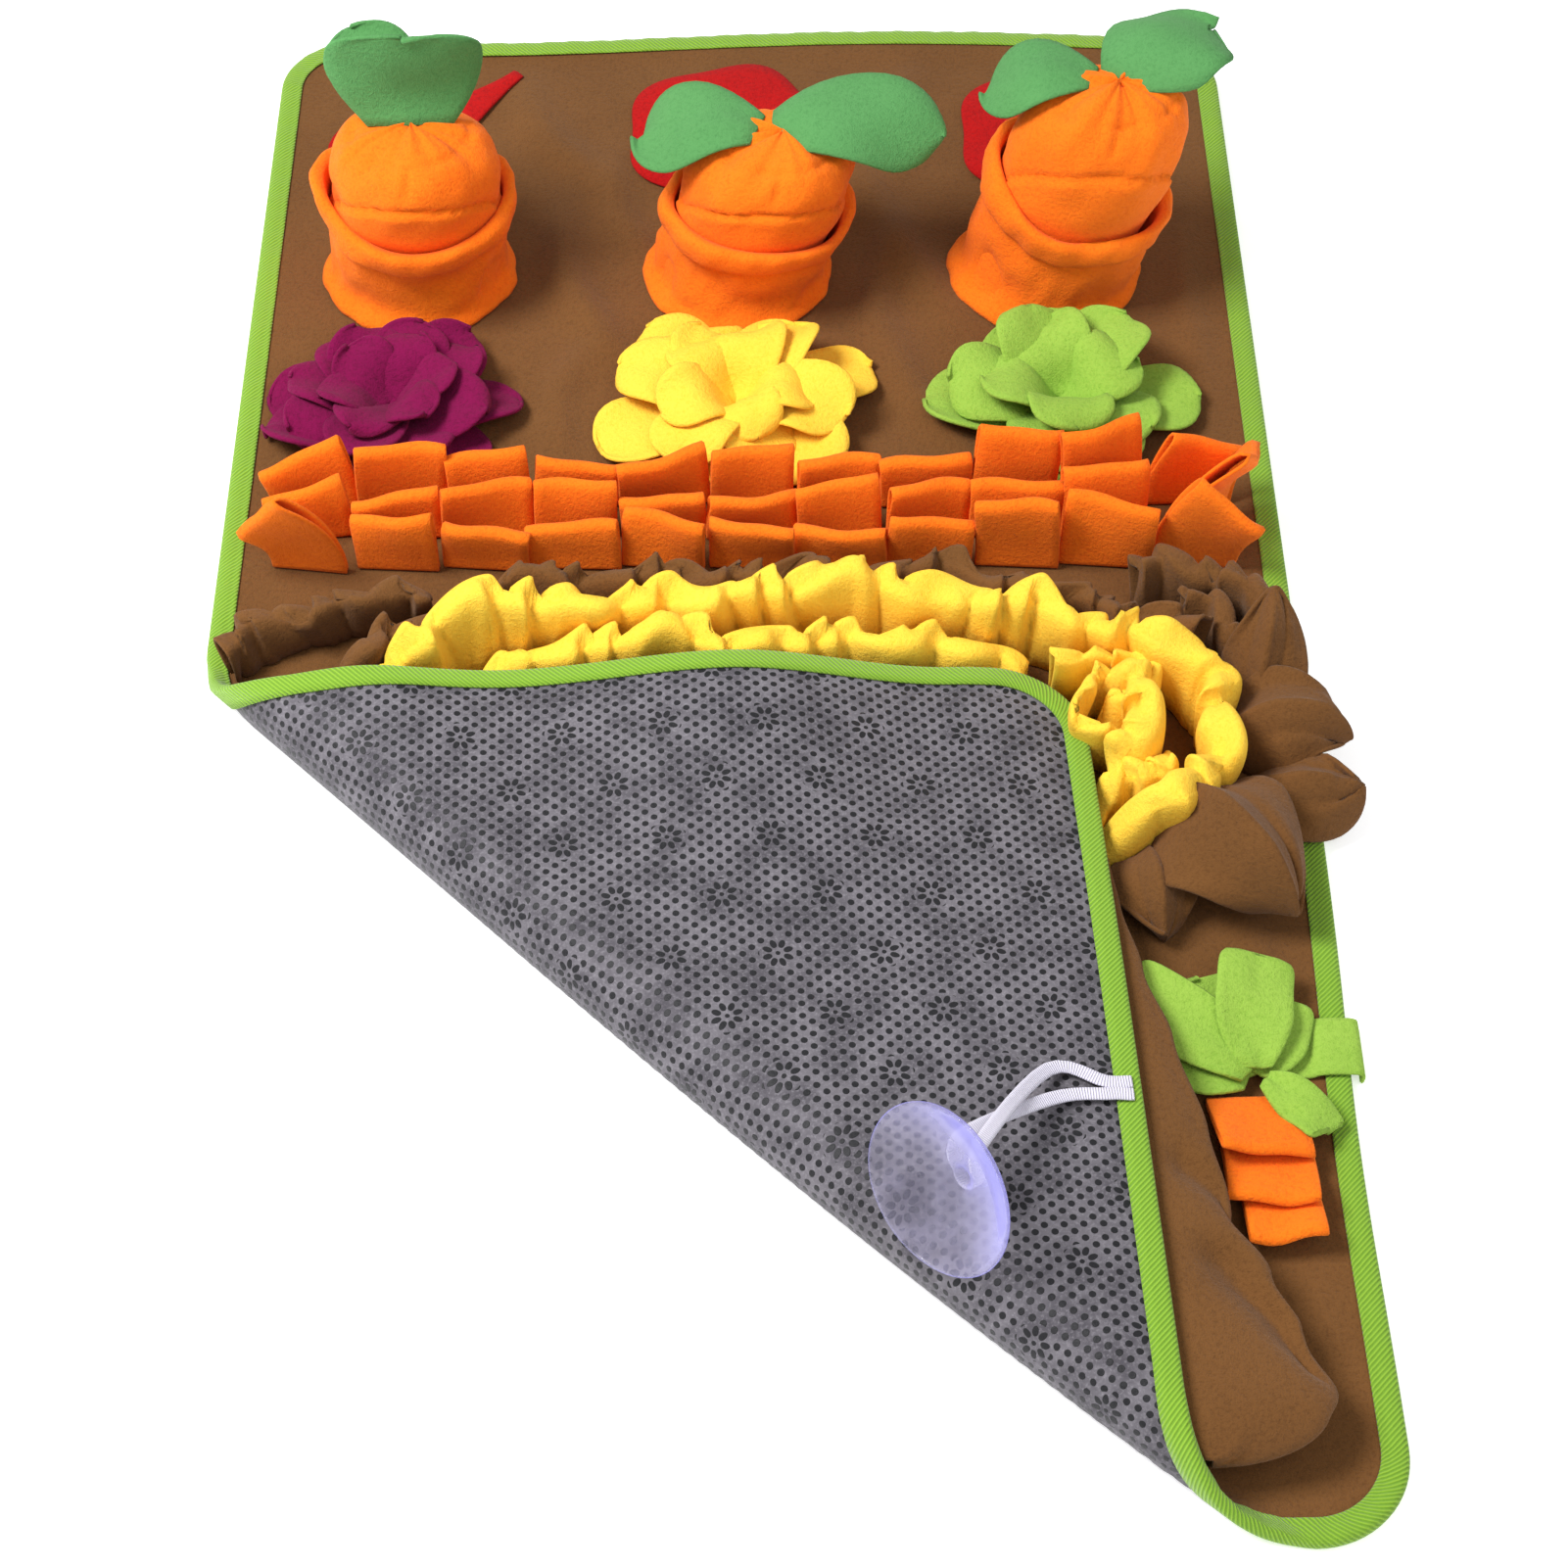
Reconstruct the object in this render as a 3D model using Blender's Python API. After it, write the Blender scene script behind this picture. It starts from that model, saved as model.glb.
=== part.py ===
"""Snuffle mat for pets: a bound mat of felt and fleece with one corner folded over,
carrots in pockets, fleece flowers, a fringe, gathered ruffles and a suction cup on elastic.

Run with: blender --background --python part.py
Metres, +Z up. The origin is the mat's centre on the floor, +X is the mat's width and
+Y runs along its length, away from the folded corner.
"""
import math

import bmesh
import bpy
import numpy as np
from mathutils import Vector
from mathutils.geometry import delaunay_2d_cdt

for old in list(bpy.data.objects):
    bpy.data.objects.remove(old, do_unlink=True)

MM = 0.001

# ---------------------------------------------------------------- driving sizes
MAT_W, MAT_L = 0.500, 0.880  # cut size of the mat, bound
CORNER_R = 0.040
FELT_T, FLEECE_T, TAPE_T = 0.0016, 0.0014, 0.0010
CLOTH_T = 0.0020  # the fleece that petals, strips and leaves are cut from
GAP = 0.0003  # between pieces that lie on each other
TAPE_W = 0.011  # how far the binding reaches over the mat's edge

# the folded corner: where the fold leaves the two edges, and its roll
FOLD_UP_LEFT_EDGE = 0.4415
FOLD_ALONG_NEAR_EDGE = 0.4594
ROLL_R = 0.0205
FLAP_DROP = 0.02  # how far past half a turn the roll goes, in radians

FLEECE_TOP = FELT_T + GAP + FLEECE_T  # height of the fleece's face in the field
SEAT = FLEECE_TOP + GAP  # height at which sewn-on pieces lie
EDGE_LIFT = TAPE_T + GAP  # the sheets rise onto the binding's lower leg


def smooth(low, high, x):
    """0 below low, 1 above high, a soft step between."""
    k = min(max((x - low) / (high - low), 0.0), 1.0)
    return k * k * (3 - 2 * k)


def table(rows, x, column):
    """A value read from a short table by its first column, with soft steps between rows."""
    if x <= rows[0][0]:
        return rows[0][column]
    for a, b in zip(rows, rows[1:]):
        if x <= b[0]:
            return a[column] + (b[column] - a[column]) * smooth(a[0], b[0], x)
    return rows[-1][column]


# ---------------------------------------------------------------- materials and bodies
COLOURS = {
    "felt": (0.105, 0.095, 0.115),
    "brown_fleece": (0.165, 0.075, 0.028),
    "green_tape": (0.23, 0.52, 0.035),
    "orange_fleece": (0.95, 0.25, 0.012),
    "red_fleece": (0.55, 0.008, 0.008),
    "leaf_fleece": (0.09, 0.33, 0.13),
    "purple_fleece": (0.28, 0.008, 0.21),
    "yellow_fleece": (0.95, 0.62, 0.02),
    "lime_fleece": (0.28, 0.60, 0.05),
    "clear_plastic": (0.42, 0.40, 0.85),
    "white_elastic": (0.80, 0.76, 0.85),
}


def material(name):
    found = bpy.data.materials.get(name)
    if found:
        return found
    made = bpy.data.materials.new(name)
    made.use_nodes = True
    shader = made.node_tree.nodes["Principled BSDF"]
    shader.inputs["Base Color"].default_value = (*COLOURS[name], 1)
    shader.inputs["Roughness"].default_value = 0.12 if name == "clear_plastic" else 0.95
    shader.inputs["Metallic"].default_value = 0
    return made


def put(name, bm, cloth):
    """One named object from a finished mesh."""
    bmesh.ops.triangulate(bm, faces=bm.faces)
    bmesh.ops.recalc_face_normals(bm, faces=bm.faces)
    if bm.calc_volume(signed=True) < 0:
        bmesh.ops.reverse_faces(bm, faces=bm.faces)
    mesh = bpy.data.meshes.new(name)
    bm.to_mesh(mesh)
    bm.free()
    mesh.shade_smooth()
    mesh.set_sharp_from_angle(angle=math.radians(40))
    body = bpy.data.objects.new(name, mesh)
    body.data.materials.append(material(cloth))
    bpy.context.scene.collection.objects.link(body)
    return body


def loft(bm, rings, closed=False, strip_caps=False):
    """Quads between rings of vertices. An open loft gets a cap at each end.

    strip_caps is for rings that go out along one side of a thin wall and back along the other.
    """
    rows = [[bm.verts.new(p) for p in ring] for ring in rings]
    pairs = list(zip(rows, rows[1:]))
    if closed:
        pairs.append((rows[-1], rows[0]))
    for a, b in pairs:
        for i in range(len(a)):
            j = (i + 1) % len(a)
            bm.faces.new((a[i], a[j], b[j], b[i]))
    if strip_caps:
        for row in (rows[0][::-1], rows[-1]):
            for i in range(len(row) // 2 - 1):
                bm.faces.new((row[i], row[i + 1], row[-2 - i], row[-1 - i]))
    elif not closed:
        bm.faces.new(rows[0][::-1])
        bm.faces.new(rows[-1])
    return rows


# ---------------------------------------------------------------- the folded mat as a surface
NEAR_LEFT = np.array([-MAT_W / 2, -MAT_L / 2])
FOLD_START = NEAR_LEFT + (0, FOLD_UP_LEFT_EDGE)
FOLD_END = NEAR_LEFT + (FOLD_ALONG_NEAR_EDGE, 0)
FOLD_LENGTH = float(np.linalg.norm(FOLD_END - FOLD_START))
ALONG = (FOLD_END - FOLD_START) / FOLD_LENGTH
ACROSS = np.array([ALONG[1], -ALONG[0]])
if ACROSS @ (NEAR_LEFT - FOLD_START) < 0:
    ACROSS = -ACROSS
ROLL_TURN = math.pi + FLAP_DROP

# waves of the flap's long edge: distance from its corner, how far it rises
EDGE_WAVES = ((0.0, -0.010), (0.058, -0.005), (0.157, 0.011), (0.256, 0.001), (0.355, 0.012), (0.437, 0.0))
WAVE_REACH = 0.115
WAVE_FROM, WAVE_FULL = 2.6 * ROLL_R, 5.0 * ROLL_R  # it starts past the roll


def fold_place(u, v):
    """How far a pattern point lies along the fold and past it."""
    q = np.array([u, v]) - FOLD_START
    return float(q @ ALONG), float(q @ ACROSS)


def wave(u, v, past):
    """How far the flap rises there: its long edge ripples over the ruffles."""
    on_flap = smooth(WAVE_FROM, WAVE_FULL, past)
    from_edge = max(u - NEAR_LEFT[0], 0.0)
    rise = table(EDGE_WAVES, v - NEAR_LEFT[1], 1)
    return on_flap * rise * math.exp(-((from_edge / WAVE_REACH) ** 2))


def folded(u, v, height):
    """Where a pattern point goes once the corner is folded; height is above the pattern."""
    along, past = fold_place(u, v)
    if past <= 0:
        return np.array([u, v, height])
    k = min(max(along / FOLD_LENGTH, 0.0), 1.0)
    fat = 0.008 * math.sin(math.pi * k**1.4) - 0.003  # the roll is fuller near its middle
    turn = min(past / ROLL_R, ROLL_TURN)
    run = max(past - ROLL_R * ROLL_TURN, 0.0)
    reach = (ROLL_R - height) * math.sin(turn) + fat * max(math.sin(turn), 0.0) + run * math.cos(turn)
    up = ROLL_R - (ROLL_R - height) * math.cos(turn) + run * math.sin(turn) + wave(u, v, past)
    x, y = FOLD_START + along * ALONG + reach * ACROSS
    return np.array([x, y, up])


def under_flap(x, y):
    """How far inside the flap's shadow a place on the mat is, in metres; negative is outside."""
    along, past = fold_place(x, y)
    u, v = FOLD_START + along * ALONG + (math.pi * ROLL_R - past) * ACROSS
    return min(u - NEAR_LEFT[0], v - NEAR_LEFT[1])


ROLL_LENGTH = math.pi * ROLL_R
# where the roll ends on the flap, from the flap's corner along either edge
LEFT_ON = FOLD_UP_LEFT_EDGE - ROLL_LENGTH / abs(ACROSS[1])
NEAR_ON = FOLD_ALONG_NEAR_EDGE - ROLL_LENGTH / abs(ACROSS[0])
ROLL_STEPS = 8
FAR_STATIONS = 5  # steps along the left side beyond the fold


def between(start, end, count):
    """Evenly spaced values after start, the last of them end."""
    return [start + (end - start) * i / count for i in range(1, count + 1)]


# where the outline has points, from the near-left corner along its near and left sides
NEAR_STATIONS = [FOLD_ALONG_NEAR_EDGE] + between(FOLD_ALONG_NEAR_EDGE, NEAR_ON, ROLL_STEPS)
NEAR_STATIONS += between(NEAR_ON, CORNER_R, 9)[:-1]
LEFT_STATIONS = between(CORNER_R, LEFT_ON, 14) + between(LEFT_ON, FOLD_UP_LEFT_EDGE, ROLL_STEPS)
LEFT_STATIONS += between(FOLD_UP_LEFT_EDGE, MAT_L - CORNER_R, FAR_STATIONS)[:-1]
# how many of the outline's points come before the left side's
NEAR_COUNT = 6 + len(NEAR_STATIONS) + 7


def bow(x, y):
    """The real outline isn't ruler straight: its far edge waves and its right edge bows in."""
    dx = -0.003 * math.exp(-(((y + 0.27) / 0.09) ** 2)) * smooth(0.18, 0.25, x)
    dy = 0.0045 * math.cos(2 * math.pi * (x - 0.075) / 0.46) * smooth(0.30, 0.44, y)
    return x + dx, y + dy


SLANT_EASE = 0.03  # the slant grows between this far from the corner's arc and this far from the roll


def slant(s, inset, on, slope):
    """On the roll the points of inner loops keep the same turn, so that cross edges stay straight."""
    return -inset * slope * smooth(CORNER_R + SLANT_EASE, on - SLANT_EASE, s)


def outline(inset):
    """The mat's outline, moved in by inset, clockwise from the near-right corner."""
    x0, y0, x1, y1 = -MAT_W / 2 + inset, -MAT_L / 2 + inset, MAT_W / 2 - inset, MAT_L / 2 - inset
    r = max(CORNER_R - inset, 0.004)
    points = []

    def corner(cx, cy, start, count=7):
        for i in range(count):
            a = math.radians(start - 15 * i)
            points.append((cx + r * math.cos(a), cy + r * math.sin(a)))

    corner(x1 - r, y0 + r, 0, 6)
    for s in NEAR_STATIONS:
        points.append((-MAT_W / 2 + s + slant(s, inset, NEAR_ON, ACROSS[1] / ACROSS[0]), y0))
    corner(x0 + r, y0 + r, 270)
    for s in LEFT_STATIONS:
        rolled = s < FOLD_UP_LEFT_EDGE + SEAT
        points.append((x0, -MAT_L / 2 + s + rolled * slant(s, inset, LEFT_ON, ACROSS[0] / ACROSS[1])))
    corner(x0 + r, y1 - r, 180)
    for i in range(1, 7):
        points.append((x0 + r + (x1 - x0 - 2 * r) * i / 7, y1))
    corner(x1 - r, y1 - r, 90)
    for i in range(1, 9):
        points.append((x1, y1 - r + (y0 - y1 + 2 * r) * i / 9))
    return [bow(*p) for p in points]


FLEECE_MID = FELT_T + GAP + FLEECE_T / 2
WEB_CLEAR = 0.0010  # the tape's fold twists round the roll, so the cloth's edge stays clear of it
FIELD_INSET = TAPE_W + 0.011  # from here inwards the cloth lies flat
# rows of points on the flap: how far from its long edge, how far apart along it
FLAP_ROWS = ((0.048, 0.026), (0.078, 0.030), (0.118, 0.036), (0.170, 0.050), (0.230, 0.060))
FIELD_PITCH = 0.12


def cut_pattern():
    """The points and triangles that both sheets share, on the flat cloth: (u, v, share of the edge lift)."""
    points, edges = [], []

    def add(u, v, lift=0.0):
        points.append((u, v, lift))
        return len(points) - 1

    loops = []
    for inset, lift in ((TAPE_T + WEB_CLEAR, 1.0), (TAPE_W + 0.0008, 1.0), (FIELD_INSET, 0.0)):
        loop = [add(u, v, lift) for u, v in outline(inset)]
        edges += list(zip(loop, loop[1:] + loop[:1]))
        loops.append(loop)
    for a, b, c in zip(*loops):
        edges += [(a, b), (b, c)]

    # rows of points along the roll from edge to edge, so that it bends in even steps
    rim = outline(FIELD_INSET)
    left_end = NEAR_COUNT + len(LEFT_STATIONS) - FAR_STATIONS + 1
    for step in range(ROLL_STEPS + 1):
        near, left = 6 + step, left_end - step - 1
        row = [loops[2][left]]
        row += [add(*Vector(rim[left]).lerp(Vector(rim[near]), i / 10)) for i in range(1, 10)]
        row.append(loops[2][near])
        edges += list(zip(row, row[1:]))
    # the flap: close rows under its rippling edge, then wider ones
    for row, (from_edge, pitch) in enumerate(FLAP_ROWS):
        for i in range(14):
            u, v = NEAR_LEFT[0] + from_edge, NEAR_LEFT[1] + FIELD_INSET + 0.014 + pitch * (i + 0.5 * (row % 2))
            if fold_place(u, v)[1] > ROLL_LENGTH + 0.010:
                add(u, v)
    # the flat field
    for i in range(4):
        for j in range(7):
            u, v = (i - 1.5) * FIELD_PITCH, (j - 3) * FIELD_PITCH
            if fold_place(u, v)[1] < -0.03:
                add(u, v)

    flat = [Vector(p[:2]) for p in points]
    rim_loop = list(range(len(loops[0])))
    same, _, triangles, _, _, _ = delaunay_2d_cdt(flat, edges, [rim_loop], 1, 1e-7)
    if len(same) != len(points):
        raise RuntimeError("points of the mat's pattern fall together")
    turned = []
    for a, b, c in triangles:
        left = (flat[b] - flat[a]).cross(flat[c] - flat[a]) > 0
        turned.append((a, b, c) if left else (a, c, b))
    return points, turned, len(rim_loop)


PATTERN, PATTERN_TRIANGLES, RIM = cut_pattern()


def sheet(name, cloth, thickness, middle):
    """One layer of the mat: a cut sheet, folded over at its corner, lifted at its bound edge."""
    bm = bmesh.new()
    low, top = [], []
    for u, v, lift in PATTERN:
        at = middle + lift * EDGE_LIFT
        low.append(bm.verts.new(folded(u, v, at - thickness / 2)))
        top.append(bm.verts.new(folded(u, v, at + thickness / 2)))
    for a, b, c in PATTERN_TRIANGLES:
        bm.faces.new((top[a], top[b], top[c]))
        bm.faces.new((low[a], low[c], low[b]))
    for i in range(RIM):
        j = (i + 1) % RIM
        bm.faces.new((low[i], top[i], top[j], low[j]))
    return put(name, bm, cloth)


sheet("felt_base", "felt", FELT_T, FELT_T / 2)
sheet("fleece_top", "brown_fleece", FLEECE_T, FLEECE_MID)


# the fleece's slack bags out of the folded corner past the flap's short edge:
# distance from the flap's corner, how much of it is out, how deep it hangs
BAG = (
    (0.106, 0.30, 0.008),
    (0.130, 0.48, 0.007),
    (0.200, 0.68, 0.008),
    (0.250, 0.73, 0.012),
    (0.290, 0.90, 0.018),
    (0.330, 1.02, 0.021),
    (0.362, 1.20, 0.019),
    (0.375, 1.00, 0.011),
)
# its path at its fullest: how far past the edge, how far below the flap's felt face
BAG_PATH = (
    (-0.0135, 0.0074),
    (-0.0040, 0.0079),
    (0.0160, 0.0082),
    (0.0340, 0.0096),
    (0.0460, 0.0126),
    (0.0500, 0.0176),
    (0.0460, 0.0232),
    (0.0300, 0.0277),
    (0.0060, 0.0290),
    (-0.0160, 0.0270),
)
BAG_PASS = BAG_PATH[1][1]  # how far below the flap it comes out
BAG_OUT = Vector((0.999, 0.042, 0))  # the way it hangs out


def slack_place(along, out, deep):
    """A place on the slack's path: it follows the flap under its edge and hangs down beyond it."""
    u = NEAR_LEFT[0] + along
    if out < 0:
        out *= 1 - 0.7 * smooth(0.30, 0.37, along)  # its lips stay short of the roll
        return Vector(folded(u, NEAR_LEFT[1] - out, deep))
    past = max(deep - BAG_PASS, 0)
    return Vector(folded(u, NEAR_LEFT[1], deep - past)) + BAG_OUT * out - Vector((0, 0, past))


def slack():
    rings = []
    for along in [BAG[0][0]] + between(BAG[0][0], BAG[-1][0], 16):
        out_share, hang = table(BAG, along, 1), table(BAG, along, 2)
        line = []
        for out, deep in BAG_PATH:
            sunk = max(deep - BAG_PASS, 0) * hang / (BAG_PATH[8][1] - BAG_PASS)
            line.append(Vector((out * out_share if out > 0 else out, min(deep, BAG_PASS) + sunk)))
        outer, inner = [], []
        for i, at in enumerate(line):
            run = (line[min(i + 1, len(line) - 1)] - line[max(i - 1, 0)]).normalized()
            side = Vector((run.y, -run.x)) * FLEECE_T / 2
            outer.append(at + side)
            inner.append(at - side)
        rings.append([slack_place(along, *p) for p in outer + inner[::-1]])
    bm = bmesh.new()
    loft(bm, rings, strip_caps=True)
    return put("fleece_slack", bm, "brown_fleece")


slack()


def binding():
    """The twill tape: folded over the mat's edge all round, the folded corner too."""
    top = EDGE_LIFT + FLEECE_TOP + GAP
    section = (
        (0.0, 0.0),
        (0.0, top + TAPE_T),
        (TAPE_W, top + TAPE_T),
        (TAPE_W, top),
        (TAPE_T, top),
        (TAPE_T, TAPE_T),
        (TAPE_W, TAPE_T),
        (TAPE_W, 0.0),
    )
    loops = {inset: outline(inset) for inset in (0.0, TAPE_T, TAPE_W)}
    rings = []
    for i in range(len(loops[0.0])):
        rings.append([folded(*loops[inset][i], height) for inset, height in section])
    bm = bmesh.new()
    loft(bm, rings, closed=True)
    put("binding_tape", bm, "green_tape")


binding()


# ---------------------------------------------------------------- flat appliques
def flat_piece(name, cloth, points, low, thickness):
    """A flat cut piece lying on the mat."""
    bm = bmesh.new()
    loft(bm, [[(x, y, low) for x, y in points], [(x, y, low + thickness) for x, y in points]])
    return put(name, bm, cloth)


def scalloped(cx, cy, rx, ry, lobes, depth, start):
    points = []
    for i in range(40):
        a = 2 * math.pi * i / 40
        r = 1 - depth * (0.5 - 0.5 * math.cos(lobes * (a - start)))
        points.append((cx + rx * r * math.cos(a), cy + ry * r * math.sin(a)))
    return points


def chilli(x0, y0, x1, y1, wide, sag):
    """A curved pod: round at its start, drawn out to a point at its end."""
    run = Vector((x1 - x0, y1 - y0))
    side = Vector((-run.y, run.x)).normalized()
    upper, lower = [], []
    for i in range(11):
        k = i / 10
        middle = Vector((x0, y0)) + run * k - side * sag * math.sin(math.pi * k)
        half = wide / 2 * math.sqrt(max(1 - (1 - min(k / 0.25, 1)) ** 2, 0.04)) * (1 - 0.86 * smooth(0.2, 1.0, k))
        upper.append(tuple(middle + side * half))
        lower.append(tuple(middle - side * half))
    return upper + lower[::-1]


RED_T = 0.0020
flat_piece("red_pod", "red_fleece", chilli(-0.219, 0.338, -0.124, 0.409, 0.052, 0.008), SEAT, RED_T)
flat_piece("red_scallop_middle", "red_fleece", scalloped(-0.012, 0.362, 0.056, 0.056, 5, 0.12, 1.25), SEAT, RED_T)
flat_piece("red_scallop_right", "red_fleece", scalloped(0.166, 0.360, 0.060, 0.056, 5, 0.12, 1.25), SEAT, RED_T)


# ---------------------------------------------------------------- pockets and carrots
POCKET_DEEP = 0.039  # half of a pocket's depth
# name, centre x, centre y, half width, lean to the right, rim height right, back, left, front
POCKETS = (
    ("left", -0.167, 0.256, 0.0450, 0.03, 0.055, 0.062, 0.064, 0.050),
    ("middle", -0.007, 0.256, 0.0440, 0.25, 0.042, 0.052, 0.050, 0.048),
    ("right", 0.148, 0.256, 0.0450, 0.24, 0.048, 0.072, 0.078, 0.052),
)
POCKET_PROFILE = (
    # share of the height, outward from the wall's middle
    (0.00, 0.0042),
    (0.08, 0.0044),
    (0.16, 0.0014),
    (0.55, 0.0010),
    (0.80, 0.0014),
    (0.85, 0.0034),
    (0.96, 0.0034),
    (1.00, 0.0012),
    (0.98, -0.0010),
    (0.50, -0.0010),
    (0.00, -0.0010),
)
POCKET_WAIST = ((0.0, 1.0), (0.16, 0.95), (0.55, 0.98), (1.0, 1.04))


def pocket(name, cx, cy, half, lean, right, back, left, front):
    bm = bmesh.new()
    rings = []
    count = 20
    for i in range(count):
        a = 2 * math.pi * i / count
        ca, sa = math.cos(a), math.sin(a)
        tall = (right * max(ca, 0) ** 2 + left * max(-ca, 0) ** 2 + back * max(sa, 0) ** 2 + front * max(-sa, 0) ** 2)
        ring = []
        for share, out in POCKET_PROFILE:
            swell = table(POCKET_WAIST, share, 1)
            z = SEAT + tall * share
            x = cx + (half * swell + out) * ca + lean * tall * share
            y = cy + (POCKET_DEEP * swell + out) * sa
            ring.append((x, y, z))
        rings.append(ring)
    loft(bm, rings, closed=True)
    return put(f"pocket_{name}", bm, "orange_fleece")


for row in POCKETS:
    pocket(*row)

# height as a share, half width as a share of the pocket's inside
CARROT_SHAPE = (
    (0.00, 0.30),
    (0.06, 0.52),
    (0.20, 0.76),
    (0.38, 0.88),
    (0.55, 0.92),
    (0.74, 0.93),
    (0.88, 0.74),
    (0.96, 0.46),
    (1.00, 0.20),
)
# name, height of the carrot's crown
CARROT_TOPS = {"left": 0.098, "middle": 0.092, "right": 0.122}


def carrot(name, cx, cy, half, lean):
    bm = bmesh.new()
    rings = []
    for share, wide in CARROT_SHAPE:
        high = CARROT_TOPS[name] * share
        ring = []
        for i in range(14):
            a = 2 * math.pi * i / 14
            x = cx + lean * high + half * wide * math.cos(a)
            ring.append((x, cy + POCKET_DEEP * wide * math.sin(a), SEAT + high))
        rings.append(ring)
    loft(bm, rings)
    return put(f"carrot_{name}", bm, "orange_fleece")


for row in POCKETS:
    carrot(*row[:5])


# ---------------------------------------------------------------- cut leaves and petals
def spine(root, heading, rise_start, rise_end, length, steps):
    """The middle line of a leaf: points, directions and side directions along it."""
    made, at = [], Vector(root)
    way = math.radians(heading)
    side = Vector((-math.sin(way), math.cos(way), 0))
    for i in range(steps + 1):
        rise = math.radians(rise_start + (rise_end - rise_start) * i / steps)
        run = Vector((math.cos(rise) * math.cos(way), math.cos(rise) * math.sin(way), math.sin(rise)))
        made.append((at.copy(), run, side))
        at += run * (length / steps)
    return made


STANDS = 0.7  # a leaf that starts steeper than this has its root cut square to it


def leaf_rings(root, heading, rise_start, rise_end, length, widths):
    """Four-cornered sections along a leaf, from its root to its tip."""
    rings = []
    for i, (at, run, side) in enumerate(spine(root, heading, rise_start, rise_end, length, len(widths) - 1)):
        up = run.cross(side)
        if i == 0 and abs(run.z) < STANDS:
            up = Vector((0, 0, 1))
        half, flat = side * widths[i] / 2, up * CLOTH_T / 2
        rings.append([at + half - flat, at - half - flat, at - half + flat, at + half + flat])
    return rings


def leaf(name, cloth, root, heading, rise_start, rise_end, length, widths):
    bm = bmesh.new()
    loft(bm, leaf_rings(root, heading, rise_start, rise_end, length, widths))
    return put(name, bm, cloth)


def crown_place(name, toward, out, rise):
    """Where a leaf's root sits on a carrot's crown, out from its middle in one direction."""
    row = next(r for r in POCKETS if r[0] == name)
    tall = CARROT_TOPS[name]
    shoulders = [(half * row[3], share * tall) for share, half in reversed(CARROT_SHAPE)]
    z = float(np.interp(out, [p[0] for p in shoulders[:4]], [p[1] for p in shoulders[:4]]))
    way = math.radians(toward)
    x = row[1] + row[4] * tall + out * math.cos(way)
    stands = math.sin(math.radians(rise)) >= STANDS
    under = CLOTH_T / 2 * (math.cos(math.radians(rise)) if stands else 1)
    return Vector((x, row[2] + out * math.sin(way) * 0.9, SEAT + z + 1.5 * GAP + under))


# carrot, leaf, place on the crown: toward and out, then heading, rise at root and tip, length, widths
HEART = (0.022, 0.040, 0.058, 0.068, 0.064, 0.040)
BROAD = (0.014, 0.034, 0.044, 0.046, 0.036, 0.016)
WIDE = (0.018, 0.048, 0.078, 0.080, 0.056)
CROWN_LEAVES = (
    ("left", "front", 0, 0.000, 90, 64, 84, 0.060, HEART),
    ("left", "back", 118, 0.011, 118, 22, 30, 0.050, BROAD),
    ("middle", "left", 160, 0.012, 142, 10, -36, 0.075, BROAD),
    ("middle", "right", 20, 0.010, 28, 58, -38, 0.088, BROAD),
    ("right", "left", 150, 0.012, 140, 12, -48, 0.068, BROAD),
    ("right", "over", 40, 0.008, 62, 46, 12, 0.050, WIDE),
)
for crown, which, toward, out, heading, rise_start, rise_end, length, widths in CROWN_LEAVES:
    root = crown_place(crown, toward, out, rise_start)
    leaf(f"leaf_{crown}_{which}", "leaf_fleece", root, heading, rise_start, rise_end, length, widths)


PETAL_SHAPE = (0.52, 0.88, 1.0, 0.84, 0.42)  # width from root to tip


def flower_layer(name, cloth, cx, cy, low, hub, root_half, petals):
    """One cut layer of a flower: a round middle with its petals bent up from it."""
    bm = bmesh.new()
    bottom, top, roots = [], [], []
    for heading, *_ in petals:
        for offset in (-1, 1):
            a = math.radians(heading) + offset * root_half / hub
            x, y = cx + hub * math.cos(a), cy + hub * math.sin(a)
            bottom.append(bm.verts.new((x, y, low)))
            top.append(bm.verts.new((x, y, low + CLOTH_T)))
    count = len(bottom)
    bm.faces.new(bottom[::-1])
    bm.faces.new(top)
    for i in range(count):
        j = (i + 1) % count
        if i % 2:
            bm.faces.new((bottom[i], bottom[j], top[j], top[i]))
    for i, (heading, rise_start, rise_end, length, wide) in enumerate(petals):
        right, left = 2 * i, 2 * i + 1
        share = 2 * math.pi / len(petals) * 0.86
        widths, reach = [], hub
        for s, shape in enumerate(PETAL_SHAPE):
            rise = math.radians(rise_start + (rise_end - rise_start) * s / (len(PETAL_SHAPE) - 1))
            widths.append(min(wide * shape, reach * share))
            reach += max(math.cos(rise), 0.1) * length / (len(PETAL_SHAPE) - 1)
        a = math.radians(heading)
        root = (cx + hub * math.cos(a), cy + hub * math.sin(a), low + CLOTH_T / 2)
        rings = leaf_rings(root, heading, rise_start, rise_end, length, widths)
        last = [bottom[left], bottom[right], top[right], top[left]]
        for ring in rings[1:]:
            now = [bm.verts.new(p) for p in ring]
            for s in range(4):
                t = (s + 1) % 4
                bm.faces.new((last[s], last[t], now[t], now[s]))
            last = now
        bm.faces.new(last)
    return put(name, bm, cloth)


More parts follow.
